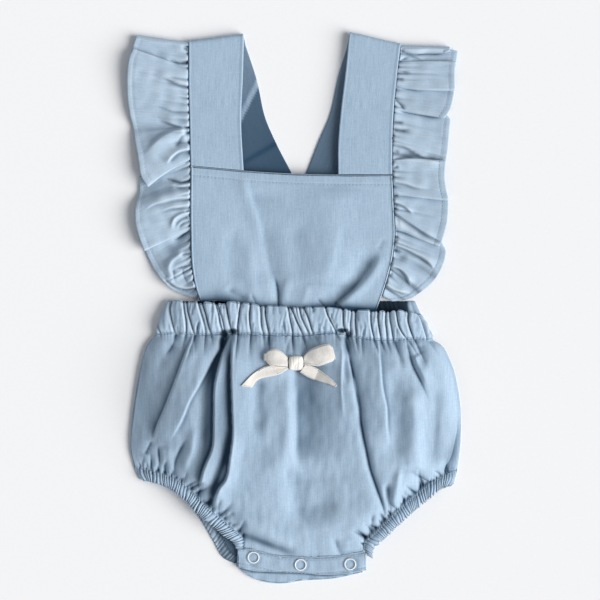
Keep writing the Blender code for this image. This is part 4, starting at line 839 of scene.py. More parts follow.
# across it, the cloth slopes away evenly on the left and is rounder on the right
bloomerPuff = table("across high",
    (0.0, 0.0), (0.02, 0.16), (0.05, 0.28), (0.1, 0.52), (0.14, 0.72), (0.2, 0.88), (0.32, 0.98), (0.5, 1.0),
    (0.7, 0.96), (0.84, 0.84), (0.93, 0.62), (0.98, 0.38), (1.0, 0.0))
bloomerCreases = [
    ("edge", "right", 19, 9, 3.6, 0, 0.12,
     (-80.7, -20.4), (-86.9, -35.9), (-94.5, -56.6), (-102.9, -78), (-109.8, -94.1), (-112.9, -104.8)),
    ("edge", "left", 10, 3, 2.8, 0, 0.3,
     (-57, -20), (-59.3, -30.6), (-65.4, -42.8), (-74.6, -60.4), (-82.3, -73.5), (-88.4, -88),
     (-99.9, -107.1)),
    ("edge", "right", 8, 9, 5.6, 0, 0.08,
     (-50.1, -20.4), (-55.5, -30.6), (-59.3, -42.1), (-63.1, -59.7), (-63.9, -85.7), (-65.4, -111),
     (-71.6, -126.3), (-76.5, -145)),
    ("soft", "left", 6, 5, -3.4, 0, 0.3, (-54, -21), (-58, -34), (-64.5, -46), (-69.5, -62), (-70.5, -86),
     (-72, -110), (-77, -128)),
    ("edge", "right", 24, 5, 6.2, 0, 0.35,
     (-49, -20.9), (-50.1, -39.8), (-50.1, -55.1), (-49.4, -78), (-49, -101), (-50.9, -116.3), (-53.2, -129)),
    ("edge", "right", 7, 5, 5.6, 0.3, 0.12,
     (-49, -92), (-49, -101), (-50.9, -116.3), (-54.7, -135.4), (-60.1, -143), (-62.3, -147.6),
     (-65.5, -160.5)),
    ("soft", "left", 5, 3, -4.2, 0.45, 0.05, (-52.5, -92), (-54.5, -116), (-60, -132), (-65.5, -146),
     (-68, -158)),
    ("sharp", "left", 1.8, 1.6, -3.2, 0, 0.5, (-94.9, -20.9), (-96.8, -29.1), (-103.7, -38.2)),
    ("soft", "left", 5, 5, -1.8, 0.1, 0.5, (-96, -27), (-104, -40), (-112, -56)),
    ("soft", "left", 12, 10, -2.4, 0.3, 0.3, (-104, -46), (-112, -66), (-116, -88), (-117, -108)),
    ("sharp", "left", 1.8, 2.6, -2.8, 0.3, 0.2, (-113.2, -104), (-116.5, -110.6), (-119.8, -116.6)),
    ("sharp", "left", 1.6, 1.6, -3.8, 0.35, 0, (-108.3, -107), (-107.4, -121), (-108.6, -131)),
    ("soft", "right", 3, 2, 1.4, 0.3, 0.2, (-105.4, -109), (-104.2, -124)),
    ("sharp", "right", 3, 1.8, -3.6, 0.35, 0, (-84.2, -101), (-89.9, -111), (-94.3, -121), (-95.6, -136)),
    ("soft", "left", 5, 3, 2.2, 0.3, 0.2, (-78, -92), (-81, -110), (-88, -130)),
    ("soft", "left", 3.6, 3, 1.4, 0.3, 0.2, (-100.5, -108), (-99, -122), (-99.6, -133)),
    ("sharp", "left", 1.5, 1.5, -2.6, 0.4, 0, (-84.2, -128), (-87, -136), (-88.6, -142)),
    ("sharp", "left", 1.4, 1.4, -2.4, 0.4, 0, (-119.6, -117), (-121.6, -123), (-123, -129)),
    ("sharp", "left", 1.6, 1.6, -3, 0.35, 0, (-57, -150), (-60, -156), (-60.6, -165)),
    ("sharp", "up", 1.4, 1.8, -2.4, 0.3, 0, (-47, -161), (-52, -165), (-57.4, -169)),
    ("sharp", "left", 1.2, 1.2, 1.5, 0, 0.25, (34.9, -19), (38, -32.3), (37.2, -59), (39.5, -89.7)),
    ("soft", "left", 2.4, 5, -3.8, 0, 0.3, (40, -19), (41.4, -30), (41.2, -46), (42, -62)),
    ("edge", "left", 7, 8, 2.4, 0.05, 0.2, (39, -21), (41.6, -29.5), (44.6, -43.8), (48.7, -59),
     (51.7, -75.9), (54, -92)),
    ("sharp", "left", 2.6, 2.2, -6.0, 0.14, 0.04,
     (43.8, -36), (47, -54), (50.5, -72), (54.3, -96), (57.5, -112), (61, -128), (66.1, -143), (70.5, -156),
     (73.2, -167)),
    ("edge", "left", 10, 8, 3.2, 0, 0.25, (67.4, -23), (69.1, -43.6), (70.7, -62.7), (73.7, -78),
     (74.5, -93.4), (76, -110)),
    ("soft", "left", 2.6, 3, -2, 0.1, 0.4, (78.6, -24), (83.7, -38.2), (87, -49)),
    ("sharp", "left", 2.2, 1.5, -4, 0.1, 0.5, (89.5, -25), (92.1, -35.9), (94.4, -44.4), (99.8, -55.8),
     (105.9, -68.9), (109.6, -76)),
    ("soft", "right", 6, 2.4, 2.6, 0.1, 0.5, (96, -36), (102, -50), (109, -64)),
    ("soft", "left", 4, 4, -3, 0.2, 0.4, (99.5, -26), (101.5, -38), (103, -50)),
    ("soft", "left", 9, 5, -3, 0.25, 0.2, (113.5, -56), (112, -81.9), (111.2, -104.8), (108.2, -127.8)),
    ("edge", "left", 7, 3, 3.6, 0.3, 0, (130.4, -84), (129, -98), (125.8, -114), (120, -132)),
    ("soft", "left", 2, 2.6, -2.6, 0.3, 0, (133, -90), (131, -106), (127, -122), (121.6, -136.5)),
    ("soft", "left", 10, 7, 3.6, 0.2, 0.1, (94, -60), (96, -90), (96, -130)),
    ("soft", "left", 7, 9, -2.8, 0.2, 0.2, (80, -44), (82, -70), (82, -96), (78, -124)),
    ("soft", "left", 3, 2.4, -4, 0.3, 0, (74, -136), (75.5, -152), (77.4, -164)),
    ("soft", "left", 3.4, 3, 2.8, 0.3, 0, (84, -124), (82, -144), (80.6, -159)),
    ("sharp", "left", 1.8, 1.4, -3, 0.4, 0, (88.8, -142), (88, -152), (86.4, -158)),
    ("soft", "up", 6, 4, -3.6, 0.2, 0.3, (104, -137), (95, -144), (89, -152)),
    ("sharp", "left", 3, 1.6, -3.6, 0.3, 0, (63.6, -161), (62, -172), (64, -183)),
    ("sharp", "left", 1.4, 1.4, -2.4, 0.3, 0, (69.6, -162), (70.6, -170), (71, -176)),
    ("soft", "left", 12, 34, -7, 0.35, 0.35, (2, -118), (4, -140), (8, -160), (12, -178)),
    ("soft", "left", 6, 24, -8.6, 0.12, 0.35, (3.5, -36), (4.6, -60), (5, -90), (6, -112), (8, -136)),
    ("soft", "left", 6, 5, -2.8, 0.2, 0.3, (-26, -50), (-27.9, -66.7), (-27.9, -89.7), (-30, -106)),
    ("soft", "left", 8, 7, 2.6, 0.2, 0.2, (-6, -54), (-1, -92), (-8, -116), (-14, -134)),
    ("soft", "left", 2.4, 2.6, -3.6, 0, 0.6, (-21, -18.5), (-21.5, -27), (-23.5, -38)),
    ("soft", "left", 7, 6, -3, 0, 0.45, (9, -18), (10, -30), (10.4, -46)),
    ("sharp", "left", 1.2, 1.6, -3, 0, 0.5, (-2, -18.5), (-4.9, -28.5), (-7.5, -40)),
    ("sharp", "left", 1.2, 1.2, -2.4, 0, 0.6, (16.5, -19), (20.3, -27.7), (22.4, -35)),
    ("soft", "left", 4, 3, -4.6, 0, 0.5, (41, -17), (42, -26), (43.4, -38)),
    ("soft", "left", 4.4, 4, -5, 0, 0.5, (-52.5, -16), (-54, -26), (-58, -38)),
    ("soft", "down", 4.6, 6, 3.2, 0.15, 0.25, (-50, -172), (-42, -172.6), (-33, -175.6), (-20, -181.6),
     (-8, -186.4), (4, -191)),
    ("soft", "down", 3.6, 5, -4.6, 0.15, 0.2, (-46, -181), (-37, -182.4), (-28, -185.6), (-17, -190),
     (-7, -193.6), (2, -197.6)),
    ("sharp", "left", 2.2, 2.6, -3.2, 0.35, 0, (32.5, -181), (35, -190), (38.6, -198)),
    ("soft", "left", 4, 3, 1.4, 0.3, 0.2, (42.4, -182), (41.4, -194)),
    ("soft", "up", 2, 3, -1.6, 0.2, 0.1, (40.3, -197.6), (48, -194), (57, -188)),
]

# deep parts of the folds that stay in shade: middle, half sizes, lean to the right going up, how dark
foldShade = table("x y wide high slant dark",
    (12.5, -64, 9, 26, 0, 0.46), (20, -92, 13, 24, 0, 0.2), (-58, -86, 9, 46, 0.12, 0.44),
    (-64.5, -50, 3.6, 15, 0.42, 0.34), (126, -117, 4.0, 18, 0.24, 0.75), (42, -30, 3.4, 10, -0.2, 0.34),
    (-34, -96, 14, 52, 0, 0.13), (-120, -72, 9, 50, 0, 0.14), (26, -165, 20, 13, 0.5, 0.12),
    (-71, -92, 5, 34, 0.1, 0.2), (-23, -186.6, 8, 8, -2.4, 0.42))


def shadeOf(plan, rows):
    total = np.zeros(plan.shape[:-1])
    for x, y, wide, high, slant, dark in zip(*rows.values()):
        up = plan[..., 1] - y
        total += dark * np.exp(-((plan[..., 0] - x - slant * up) / wide) ** 2 - (up / high) ** 2)
    return total


def waistGatherCreases():
    draw = np.random.default_rng(11)
    rows = []
    columns = "bottom", "middle", "deep", "end"
    for bottom, middle, weight, end in zip(*(waistValleys[name] for name in columns)):
        if end < 1:
            continue
        y = float(np.interp(bottom, waistFront["x"], waistFront["bottom"])) + 1.5
        length = draw.uniform(7, 22) * weight + 4
        fan = (bottom - middle) / 16 + bottom / 110 * 0.3
        points = [(bottom + fan * length * k, y - length * k) for k in (0, 0.5, 1)]
        wide, narrow = draw.uniform(1.0, 1.7), draw.uniform(1.0, 1.7)
        rows.append(("sharp", "left", wide, narrow, -2.4 * weight, 0, 0.8, *points))
    return rows


# short uneven creases that run up from a gathered leg into the panel
def legGatherCreases(seam, seed):
    draw = np.random.default_rng(seed)
    rows, at = [], draw.uniform(0.01, 0.04)
    while at < 0.99:
        place, ahead = seam(np.array([at, at + 0.01]))[:, :2]
        run = (ahead - place) / np.linalg.norm(ahead - place)
        inward = np.array([-run[1], run[0]]) * (1 if run[0] > 0 else -1) + run * draw.uniform(-0.55, 0.55)
        long = draw.uniform() < 0.35
        length = draw.uniform(9, 19) if long else draw.uniform(4, 9)
        bend = run * draw.uniform(-1.5, 1.5)
        points = [place - inward * 0.5, place + inward * length * 0.5 + bend, place + inward * length]
        wide = draw.uniform(1.2, 2.0) if long else draw.uniform(0.8, 1.3)
        deep = draw.uniform(3.4, 5.0) if long else draw.uniform(2.0, 3.6)
        rows.append(("sharp", "up", wide, wide * draw.uniform(1, 1.7), -deep, 0, 0.7, *points))
        at += draw.uniform(0.02, 0.05)
    return rows


def makeBloomerFront():
    b = bloomerSettings
    u, v = gridOf(b)
    s = spread(u, 0.3)
    plan = patch(waistSeam, lambda at: frontHem(at)[..., :2], path(sideLeft, "x", "y"),
                 path(sideRight, "x", "y"), s, v, 4)
    rise = smooth(v, bloomerRise["down"], bloomerRise["rise"])
    hem = frontHem(s)
    puff = gentle(s, bloomerPuff["across"], bloomerPuff["high"][:, None])[..., 0]
    z = (1 - v) * waistHeight(s) + v * hem[..., 2] + layers["puff"] * rise * puff
    eased = ease(np.minimum(v, 1 - v) / 0.04)
    z += (blurred(z, 7) - z) * eased
    for axis in (0, 1):
        shift = blurred(plan[..., axis], 5) - plan[..., axis]
        plan[..., axis] += shift * eased * ease(np.minimum(s, 1 - s) / 0.05)
    inside, away = bulge(s, 6), np.linalg.norm(plan - hem[..., :2], axis=-1)
    lift = creaseRelief(plan, bloomerCreases) * np.minimum(1, 0.3 + 5 * np.minimum(v, 1 - v))
    lift += creaseRelief(plan, waistGatherCreases())
    lift += creaseRelief(plan, legGatherCreases(legLeftSeam, 31) + legGatherCreases(legRightSeam, 32))
    lift += 0.30 * crumple(plan * (1, 0.6), 24, 3) + 0.12 * crumple(plan * (1, 0.5), 8, 8)
    fromWaist, atSeam = v * b["high"], waistSeamLift(plan[..., 0])
    lift += 0.9 * (atSeam - 0.4) * fading(fromWaist, 6)
    lift += (atSeam - lift) * fading(fromWaist, 2.0, 1.6)
    legs = np.zeros_like(lift)
    for place, seed in ((s / legShare, legSeeds["left"]), ((1 - s) / legShare, legSeeds["right"])):
        onLeg = ease((1.02 - place) / 0.05)
        ribs = legSeamLift(np.clip(place, 0, 1.02), seed)
        lift += onLeg * 0.9 * (ribs - 0.3) * fading(away, 3.5)
        legs += onLeg * (ribs - lift) * fading(away, 1.8, 1.6)
    lift += legs
    onCrotch = ease((s - legShare) / 0.01) * ease((1 - legShare - s) / 0.01)
    lift += onCrotch * (-0.4 - lift) * fading(away, 1.6, 1.4)
    hole = holeDepth(plan)
    lift -= openingDeep * hole
    lean = sideLean(s)
    face = withHeight(plan, z) + lean * (lift * inside)[..., None]
    back = face - lean * b["wall"]
    back[..., 2] = np.maximum(lowest(back[..., 2], 2), b["backLeast"])
    face[..., 2] = np.maximum(face[..., 2], b["faceLeast"])
    # painted shade in hollows, deep folds and the openings; a paler tint on ridges for wear and painted
    # highlight
    paintedShade, wearAndHighlight = paintedShadeAndWearOf(face[..., 2], 2, 7, 2.6)
    paintedShade = np.maximum(np.clip(paintedShade + shadeOf(plan, foldShade), 0, 0.95), openingDark * hole)
    return clothPiece("front_bloomer_panel", face, back, plan, chambray, paintedShade, 0.4 * wearAndHighlight * inside,
                      thin=2, sewn=("top", "bottom"))


# waistband

waistbandSettings = {"columns": 561, "rows": 37, "wide": 225, "high": 26, "wall": 1.2, "crown": 1.5,
                     "topInset": 10.6}


def makeWaistbandFront():
    b = waistbandSettings
    u, w = gridOf(b)
    s = spread(u, 0.2)
    top, bottom = path(waistFront, "x", "top")(s), path(waistFront, "x", "bottom")(s)
    top[..., 0] *= 1 - b["topInset"] / waistFront["x"].max()
    plan = top + (bottom - top) * w[..., None]
    inside = np.clip(bulge(s, 6) * 1.2, 0, 1)
    puff, closeness, near = bandPuffs(plan[..., 0], w)
    x, fromSeam = plan[..., 0], (1 - w) * b["high"]
    lift = b["crown"] * (1 - np.abs(2 * w - 1) ** 2.6) + puff
    wander = x + 1.2 * np.sin(4 * w + x / 7) + 0.5 * np.sin(9 * w + x / 3)
    lift += 0.26 * np.sin(2 * math.pi * wander / 3.7 + 2 * np.sin(x / 9)) * (0.5 + 0.5 * np.sin(x / 5 + 4 * w))
    lift += 0.15 * crumple(plan * (1, 0.3), 5, 5) - 0.6 * fading(w, 0.05)
    lift -= 0.9 * pinched(gatherPhase((x + 115) / 230, 88, 5)) ** 1.6 * fading(1 - w, 0.10)
    lift += (waistSeamLift(x) - lift) * fading(fromSeam, 2.2, 1.6)
    hole = holeDepth(plan)
    lift -= openingDeep * hole
    plan[..., 1] += inside * (puff * 0.75 - 0.9) * fading(w, 0.12)
    lean = sideLean(s)
    base = withHeight(plan, waistHeight(s))
    face = base + lean * (lift * inside)[..., None]
    back = base - lean * b["wall"]
    back[..., 2] = np.minimum(back[..., 2], face[..., 2] - b["wall"] * np.clip(inside, 0.3, 1))
    # painted shade in hollows and along the pinched lines, near-black in the openings; painted highlight on the
    # puffs' shoulders beside the pinches
    paintedShade, wearAndHighlight = paintedShadeAndWearOf(face[..., 2], 2, 6, 2.6)
    paintedShade = np.clip(paintedShade * 0.5 + 0.38 * closeness * inside, 0, 0.9) * ease(w / 0.14)
    paintedShade = np.maximum(paintedShade, openingDark * hole)
    wearAndHighlight = np.clip(wearAndHighlight + 0.45 * fading(near - 1.4, 0.6, 2), 0, 0.6) * (1 - hole)
    return clothPiece("front_waistband_casing", face, back, plan, chambray, paintedShade, wearAndHighlight * inside,
                      sewn=("bottom",))


def makeWaistbandBack():
    b = {"columns": 241, "rows": 21, "wide": 220, "high": 26, "gathers": 46, "inset": 13.5, "top": 6.2}
    u, w = gridOf(b)
    bottom = path(waistFront, "x", "bottom")(u)
    x = bottom[..., 0] * (1 - (1 - w) * b["inset"] / waistFront["x"].max())
    y = b["top"] + (bottom[..., 1] - b["top"]) * w
    phase = gatherPhase(u + 0.004 * np.sin(5 * w), b["gathers"], 4)
    fade = np.clip(np.minimum(u, 1 - u) / 0.04, 0, 1)
    z = layers["backTop"] + (0.55 * (1 - (2 * w - 1) ** 4) + gathers(phase, 0 * u, 0.65, 1, 1.1, 4)) * fade
    plan = np.stack([x, y], axis=-1)
    face = withHeight(plan, np.maximum(z, 0.6))
    paintedShade, wearAndHighlight = paintedShadeAndWearOf(face[..., 2], 2, 6, 0.8)
    # between its ends the inner side shows; it lies in the dark and is painted with nearly black shade
    paintedShade = np.maximum(paintedShade, 1.7 * ease((94 - np.abs(x)) / 6))
    return clothPiece("back_waistband_casing", face, withHeight(plan, 0 * z), plan, chambray, paintedShade,
                      wearAndHighlight * (paintedShade < 1), inner=paintedShade * (w < 0.1))


# leg casings


def casingWidth(rows):
    return np.hypot(rows["edge_x"] - rows["seam_x"], rows["edge_y"] - rows["seam_y"]).mean()


# share of a casing's length and of its width at each point of its grid, starting just off the seam
def casingGrid(b, length, width):
    gap = layers["seam"] / width
    return np.meshgrid(places(b["columns"], length), gap + places(b["rows"], 9) * (1 - gap))


def makeLegCasing(name, rows, end, seed, side):
    b = casingSettings
    length = seamLength(rows)
    rows = withEnd(rows, end)
    longer, width = seamLength(rows) / length, casingWidth(rows)
    u, w = casingGrid(b, 112, width)
    seam, edge = path(rows, "seam_x", "seam_y", "z")(u), path(rows, "edge_x", "edge_y", "z")(u)
    skew = (0.3 * np.sin(2.4 * w + u * 37) - 0.3 * np.sin(u * 37)) * w
    phase, pinch, depth, tall = legRibs(u * longer, seed, skew)
    ends = np.clip(u / 0.04, 0, 1) * np.clip((1 - u) / 0.03, 0, 1)
    reach = w * (1 + (0.12 * tall * (1 - pinch) - 0.16 * pinch * depth) * ends * w)
    face = seam + (edge - seam) * reach[..., None]
    crown = 1 - np.abs(2 * w - 1) ** 2.4
    lift = 1.3 * crown + 0.9 * tall * (1 - pinch) * (0.4 + 0.6 * crown)
    lift -= b["valley"] * depth * pinch * (0.5 + 0.5 * (1 - crown))
    lift += (legSeamLift(u * longer, seed) - lift) * fading(w * width, 1.6, 1.6)
    lean = sideLean(u / 2) * np.array([-side, 1.0, 1.0])
    top = face + lean * (lift * ends)[..., None]
    paintedShade, wearAndHighlight = paintedShadeAndWearOf(top[..., 2], 2, 5, 2.4)
    grain = np.stack([phase * 3.1, w * width], axis=-1)
    return clothPiece(name, top, face - lean * b["wall"], grain, chambray, paintedShade, wearAndHighlight * ends, sewn=("top",))


def makeBackCasing(name, rows, seed, end=()):
    b = {"columns": 181, "rows": 13, "gathers": 34}
    if end:
        rows = withEnd(rows, end)
    width = casingWidth(rows)
    u, w = casingGrid(b, 115, width)
    seam = path(rows, "seam_x", "seam_y")(u)
    plan = seam + (path(rows, "edge_x", "edge_y")(u) - seam) * w[..., None]
    phase = gatherPhase(u, b["gathers"], seed)
    fade = np.clip((u - 0.04) / 0.06, 0, 1) * np.clip((1 - u) / 0.06, 0, 1)
    z = layers["backTop"] + (0.6 * (1 - (2 * w - 1) ** 2) + gathers(phase, 0 * u, 0.7, 1, 1.1, seed)) * fade
    face = withHeight(plan, np.maximum(z, 0.5))
    paintedShade, wearAndHighlight = paintedShadeAndWearOf(face[..., 2], 2, 5, 0.8)
    if end:     # painted shade: its lower end is the inside of the leg, in the dark under the front
        upTo = 0.2 + 1.1 * ease((u - 0.6) / 0.35)
        paintedShade = np.maximum(paintedShade, 0.8 * ease((u - 0.45) / 0.2) * ease((upTo - w) / 0.4))
    grain = np.stack([phase * 3.1, w * width], axis=-1)
    return clothPiece(name, face, withHeight(plan, 0 * z), grain, chambray, paintedShade, wearAndHighlight,
                      inner=paintedShade * (w < 0.15))


# bloomer back


def makeBloomerBack():
    b = {"columns": 141, "rows": 101, "wide": 230, "high": 160, "wall": 1.2}
    u, v = gridOf(b)
    left = panelSeam(legBackLeft, backCasingEnd, "seam_x", "seam_y")
    right = path(legBackRight, "seam_x", "seam_y")
    hem = hemOf(left, path(placketBack, "x", "edge"), right, 0.36, 0.01)
    plan = patch(waistSeam, hem, path(sideLeft, "x", "y"), path(sideRight, "x", "y"), u, v, 4)
    z = b["wall"] * (1 - 0.25 * np.abs(np.sin(math.pi * gatherPhase(u, 30, 2))) ** 3 * fading(v, 0.06))
    insideLeg = 0.8 * ease((-36 - plan[..., 0]) / 8) * ease((-160 - plan[..., 1]) / 14)     # painted shade, for the inside of the leg in the dark there
    return clothPiece("back_bloomer_panel", withHeight(plan, z), withHeight(plan, 0 * z), plan, chambray,
                      insideLeg, thin=2, inner=insideLeg * (v > 0.97))


# crotch plackets


def makePlacket(name, rows, top, stitched, domes=()):
    b = {"columns": 161, "rows": 29, "wide": 103, "high": 15, "wall": 1.3}
    isFront = name == "front_snap_placket"
    u, w = gridOf(b)
    seam, edge = path(rows, "x", "seam")(u) - np.array([0, layers["seam"]]), path(rows, "x", "edge")(u)
    plan = seam + (edge - seam) * w[..., None]
    down = w * np.linalg.norm(edge - seam, axis=-1)
    drawnIn = sum(0.34 * fading(down - place, 0.55, 2) for place in stitched)
    lift = -drawnIn + 0.25 * crumple(plan * (1, 0.6), 11, 6)
    lift += (-0.4 - lift) * fading(down, 1.4, 1.4) * isFront
    for x, y in domes:
        away = np.linalg.norm(plan - (x, y), axis=-1)
        lift += 0.45 * fading(away, 2.4, 4) - 0.3 * fading(away - 5.6, 1.2, 2)
    base = withHeight(plan, np.full(u.shape, top))
    face = base + np.array([0, 0, 1.0]) * lift[..., None]
    paintedShade, wearAndHighlight = paintedShadeAndWearOf(face[..., 2], 2, 5, 1.4)
    if isFront:
        across = face.transpose(1, 0, 2)[4:-4], down.T[4:-4]
        sewStitches("placket_stitches", [lineAt(*across, place) for place in stitched])
    else:     # painted shadow, as the front placket's edge lies on it and keeps the light off
        fromEdge = plan[..., 1] - np.interp(plan[..., 0], placketFront["x"], placketFront["edge"])
        paintedShade = np.maximum(paintedShade, 0.95 * fading(fromEdge, 1.5, 2) * ease((52 - plan[..., 0]) / 24))
    return clothPiece(name, face, base - np.array([0, 0, b["wall"]]), plan, chambray, paintedShade, wearAndHighlight,
                      sewn=("top",) if isFront else ())


# bib

bibSettings = {"columns": 187, "rows": 133, "wide": 160, "high": 115, "deep": 114, "wall": 1.2, "hem": 8.0}
bibCreases = [
    ("soft", "left", 5, 3.5, 0.9, 0.2, 0.3, (-40.6, 110.4), (-38.9, 97.3), (-34.5, 83), (-29.1, 66.5),
     (-25.2, 51.2)),
    ("soft", "left", 5, 10, -1.5, 0.3, 0, (-23, 72), (-20.3, 51.2), (-17, 33.6), (-13.9, 20.5), (-12.6, 2.9)),
    ("sharp", "left", 1.4, 2, -2.2, 0.4, 0, (-15.9, 28.2), (-13.5, 18.3), (-12.6, 10.6), (-12.4, 1.8)),
    ("soft", "left", 3, 5, 1.2, 0.4, 0, (-2.7, 28.2), (-6.6, 18.3), (-9.9, 2.9)),
    ("soft", "left", 7, 7, -0.9, 0.3, 0.2, (-45, 70.9), (-48.8, 42.4), (-46.1, 18.3)),
    ("soft", "left", 5, 5, 0.8, 0.3, 0, (-35.6, 57.8), (-34.5, 36.9), (-32.4, 9.5)),
    ("soft", "up", 3.5, 4, -2, 0.3, 0.3, (-54.3, 18.3), (-46.6, 11.7), (-35.6, 6.2)),
    ("sharp", "left", 1.2, 1.6, -1.8, 0.5, 0, (-34.5, 13.9), (-32.4, 8.4), (-29.6, 2.9)),
    ("soft", "left", 10, 5, 0.9, 0.3, 0.3, (34.6, 73.1), (30.2, 44.6), (24.7, 27.1), (18.1, 20.5)),
    ("soft", "left", 8, 8, -0.8, 0.3, 0.2, (2.7, 73.1), (3.8, 42.4), (6, 20.5)),
    ("soft", "right", 5, 4, 2.2, 0.25, 0.05, (74, 46), (68.6, 38.6), (62.6, 29), (55.4, 19.6), (44.4, 9.4),
     (36, 1.4)),
    ("soft", "left", 9, 5, -3.2, 0.3, 0, (70, 49), (63, 41), (56.6, 31.5), (49, 21.5), (38.6, 11.5),
     (29, 2.2)),
    ("edge", "right", 6, 4, 1.3, 0.5, 0.05, (58, 28), (52.4, 21), (46, 13.6), (39, 8), (32, 2.4)),
    ("soft", "left", 22, 20, 2.2, 0.15, 0.15, (31, 98), (29, 60), (25, 18)),
    ("soft", "left", 15, 14, -1.3, 0.15, 0.15, (-27, 98), (-25, 60), (-19, 18)),
    ("soft", "left", 2, 2.6, -0.6, 0.4, 0.3, (72.6, 58), (70, 52), (66, 46)),
    ("sharp", "left", 1.4, 1.4, -1.6, 0.4, 0, (18.1, 9.5), (20.8, 6.2), (24.1, 1.8)),
    ("soft", "left", 3, 3, 0.7, 0.3, 0, (11.5, 20.5), (9.3, 11.7), (7.1, 2.9)),
]

# painted shadow on the bib where it goes down behind the waistband: how dark, and how far up that reaches
bibShade = table("x dark reach",
    (-74.0, 1.3, 5.4), (-60.0, 1.3, 7.4), (-46.0, 0.9, 6.0), (-20.0, 0.7, 4.0), (10.0, 0.7, 3.6),
    (30.0, 1.1, 7.0), (48.0, 1.3, 4.6), (66.0, 1.3, 5.4))


def below(rows, y):
    curve, at = path(rows, "x", "y"), np.linspace(0, 1, 2000)
    return stretch(curve, np.interp(-y, -curve(at)[:, 1], at), 1)


# raised seam along a side: a rounded welt on the edge and the stitched line inside it
def seamWelt(away):
    return 0.26 * fading(away - 0.8, 0.8, 4) - 0.1 * fading(away - 2.3, 0.7, 2)


def makeBib():
    b = bibSettings
    u, v = gridOf(b)
    plan = patch(path(bibTop, "x", "y"), path(bibBottom, "x", "y"),
                 below(ruffleSeamLeft, bibTop["y"][0]), below(ruffleSeamRight, bibTop["y"][-1]), u, v)
    down, sideways = v * b["deep"], np.minimum(u, 1 - u) * b["wide"]
    tuck, fromTop = np.clip((1 - v) / 0.10, 0, 1), np.clip(v / 0.06, 0, 1)
    inside = bulge(u, 4) * tuck * fromTop
    folds = creaseRelief(plan, bibCreases) + 0.14 * crumple(plan, 30, 2) + 0.03 * crumple(plan, 9, 4)
    folds = np.where(folds > 0, folds * inside, folds * bulge(u, 6) * np.minimum(1, 0.35 + tuck) * fromTop)
    z = layers["bib"] + 1.0 * bulge(v * 0.98 + 0.01, 3) * inside + folds
    z += seamWelt(sideways) * np.clip((1 - v) / 0.04, 0, 1)
    pucker = 0.05 * np.sin(plan[..., 0] * 2 * math.pi / 3.2 + 1.5 * np.sin(plan[..., 0] / 9))
    z += 0.22 * ease((b["hem"] - down) / 0.6) - (0.3 + pucker) * fading(down - b["hem"], 0.6, 2)
    face = withHeight(plan, z)
    back = face - np.array([0, 0, b["wall"]])
    back[..., 2] = lowest(back[..., 2], 2)
    paintedShade, wearAndHighlight = paintedShadeAndWearOf(z, 2, 8, 1.6)
    sewStitches("bib_hem_stitches", [lineAt(face.transpose(1, 0, 2), down.T, b["hem"])[4:-4]])
    above = np.maximum(plan[..., 1] - np.interp(plan[..., 0], waistFront["x"], waistFront["top"]), 0)
    dark, reach = (np.interp(plan[..., 0], bibShade["x"], bibShade[name]) for name in ("dark", "reach"))
    paintedShade = np.maximum(paintedShade, dark * fading(above, reach, 1.5))
    return clothPiece("bib_panel", face, back, plan, chambray, paintedShade, 0.5 * wearAndHighlight, thin=2)


# straps

strapSettings = {"behind": 131, "over": 13, "before": 91, "columns": 37, "wide": 42, "wall": 1.2}
turnedHem = {"x": -35.4, "y": 168.4, "runX": 0.443, "runY": 0.896}
innerFold = {"x": -28.0, "y": 124.4, "runX": 0.863, "runY": 0.505}
# painted shade on the inner sides, which lie in the dark: the right one's by the way along it, and the left
# one's by how far off the hem of its turned end, which crosses it there
insideShade = {"right": ([60, 105, 150, 185, 212], [0.84, 0.8, 0.7, 0.6, 0.4]),
               "left": ([-60, -2.4, -1.8, 1.6, 2.2, 36], [0.97, 0.86, 0.24, 0.24, 0.66, 0.42])}


# how far points lie to the left of a line
def offLine(points, line):
    return (points[..., 1] - line["y"]) * line["runX"] - (points[..., 0] - line["x"]) * line["runY"]


# sections of a band that turns over at the shoulder, from its back layer up to its front
def shoulderArc(inner, outer, topZ, lowZ, steps):
    along = outer - inner
    across = np.array([along[1], -along[0]]) / np.linalg.norm(along)
    across = -across if across[1] < 0 else across
    radius = (topZ - lowZ) / 2
    rows = []
    for angle in np.linspace(-math.pi / 2, math.pi / 2, steps + 2)[1:-1]:
        shift = across * radius * math.cos(angle)
        z = (topZ + lowZ) / 2 + radius * math.sin(angle)
        rows.append((*(inner + shift), z, *(outer + shift), z))
    return np.array(rows)


def makeStrap(name, back, front, side):
    b = strapSettings
    columns = "inner_x", "inner_y", "z", "outer_x", "outer_y", "z"
    behind = path(back, *columns)(places(b["behind"], 210))
    before = path(front, *columns)(places(b["before"], 105))
    inner, outer = (np.array([front[f"{edge}_x"][0], front[f"{edge}_y"][0]]) for edge in ("inner", "outer"))
    arc = shoulderArc(inner, outer, front["z"][0], back["z"][-1], b["over"])
    rows = np.concatenate([behind[:-2], arc, before[2:]])
    t = places(b["columns"], b["wide"])[None, :, None]
    middle = rows[:, None, :3] * (1 - t) + rows[:, None, 3:] * t
    normal = surfaceNormals(middle) * -side
    away = np.minimum(t, 1 - t)[..., 0] * b["wide"]
    along = runOf(middle[:, b["columns"] // 2])[:, None]
    grain = np.stack([t[..., 0] * b["wide"] + 0 * along, along + 0 * away], axis=-1)
    lift = seamWelt(away) + 0.10 * crumple(grain, 40, 3) + 0.02 * crumple(grain, 10, 5)
    face, under = middle + normal * (b["wall"] / 2 + lift[..., None]), middle - normal * b["wall"] / 2
    for layer in (face, under):
        layer[..., 2] = np.maximum(layer[..., 2], 0)
    paintedShade, wearAndHighlight = paintedShadeAndWearOf(lift, 2, 6, 1.6)
    # painted shade on the inner side of the back layer, which lies in the dark under the front
    inside = np.interp(along, *insideShade["right"]) + 0 * away
    if side < 0:
        inside = np.interp(offLine(middle, turnedHem), *insideShade["left"])
        inside += 0.09 * fading(offLine(middle, innerFold), 2.2, 2)
    inside[len(behind):] = 0
    return clothPiece(name, face, under, grain, chambray, paintedShade, 0.5 * wearAndHighlight, inner=inside)


# ruffles

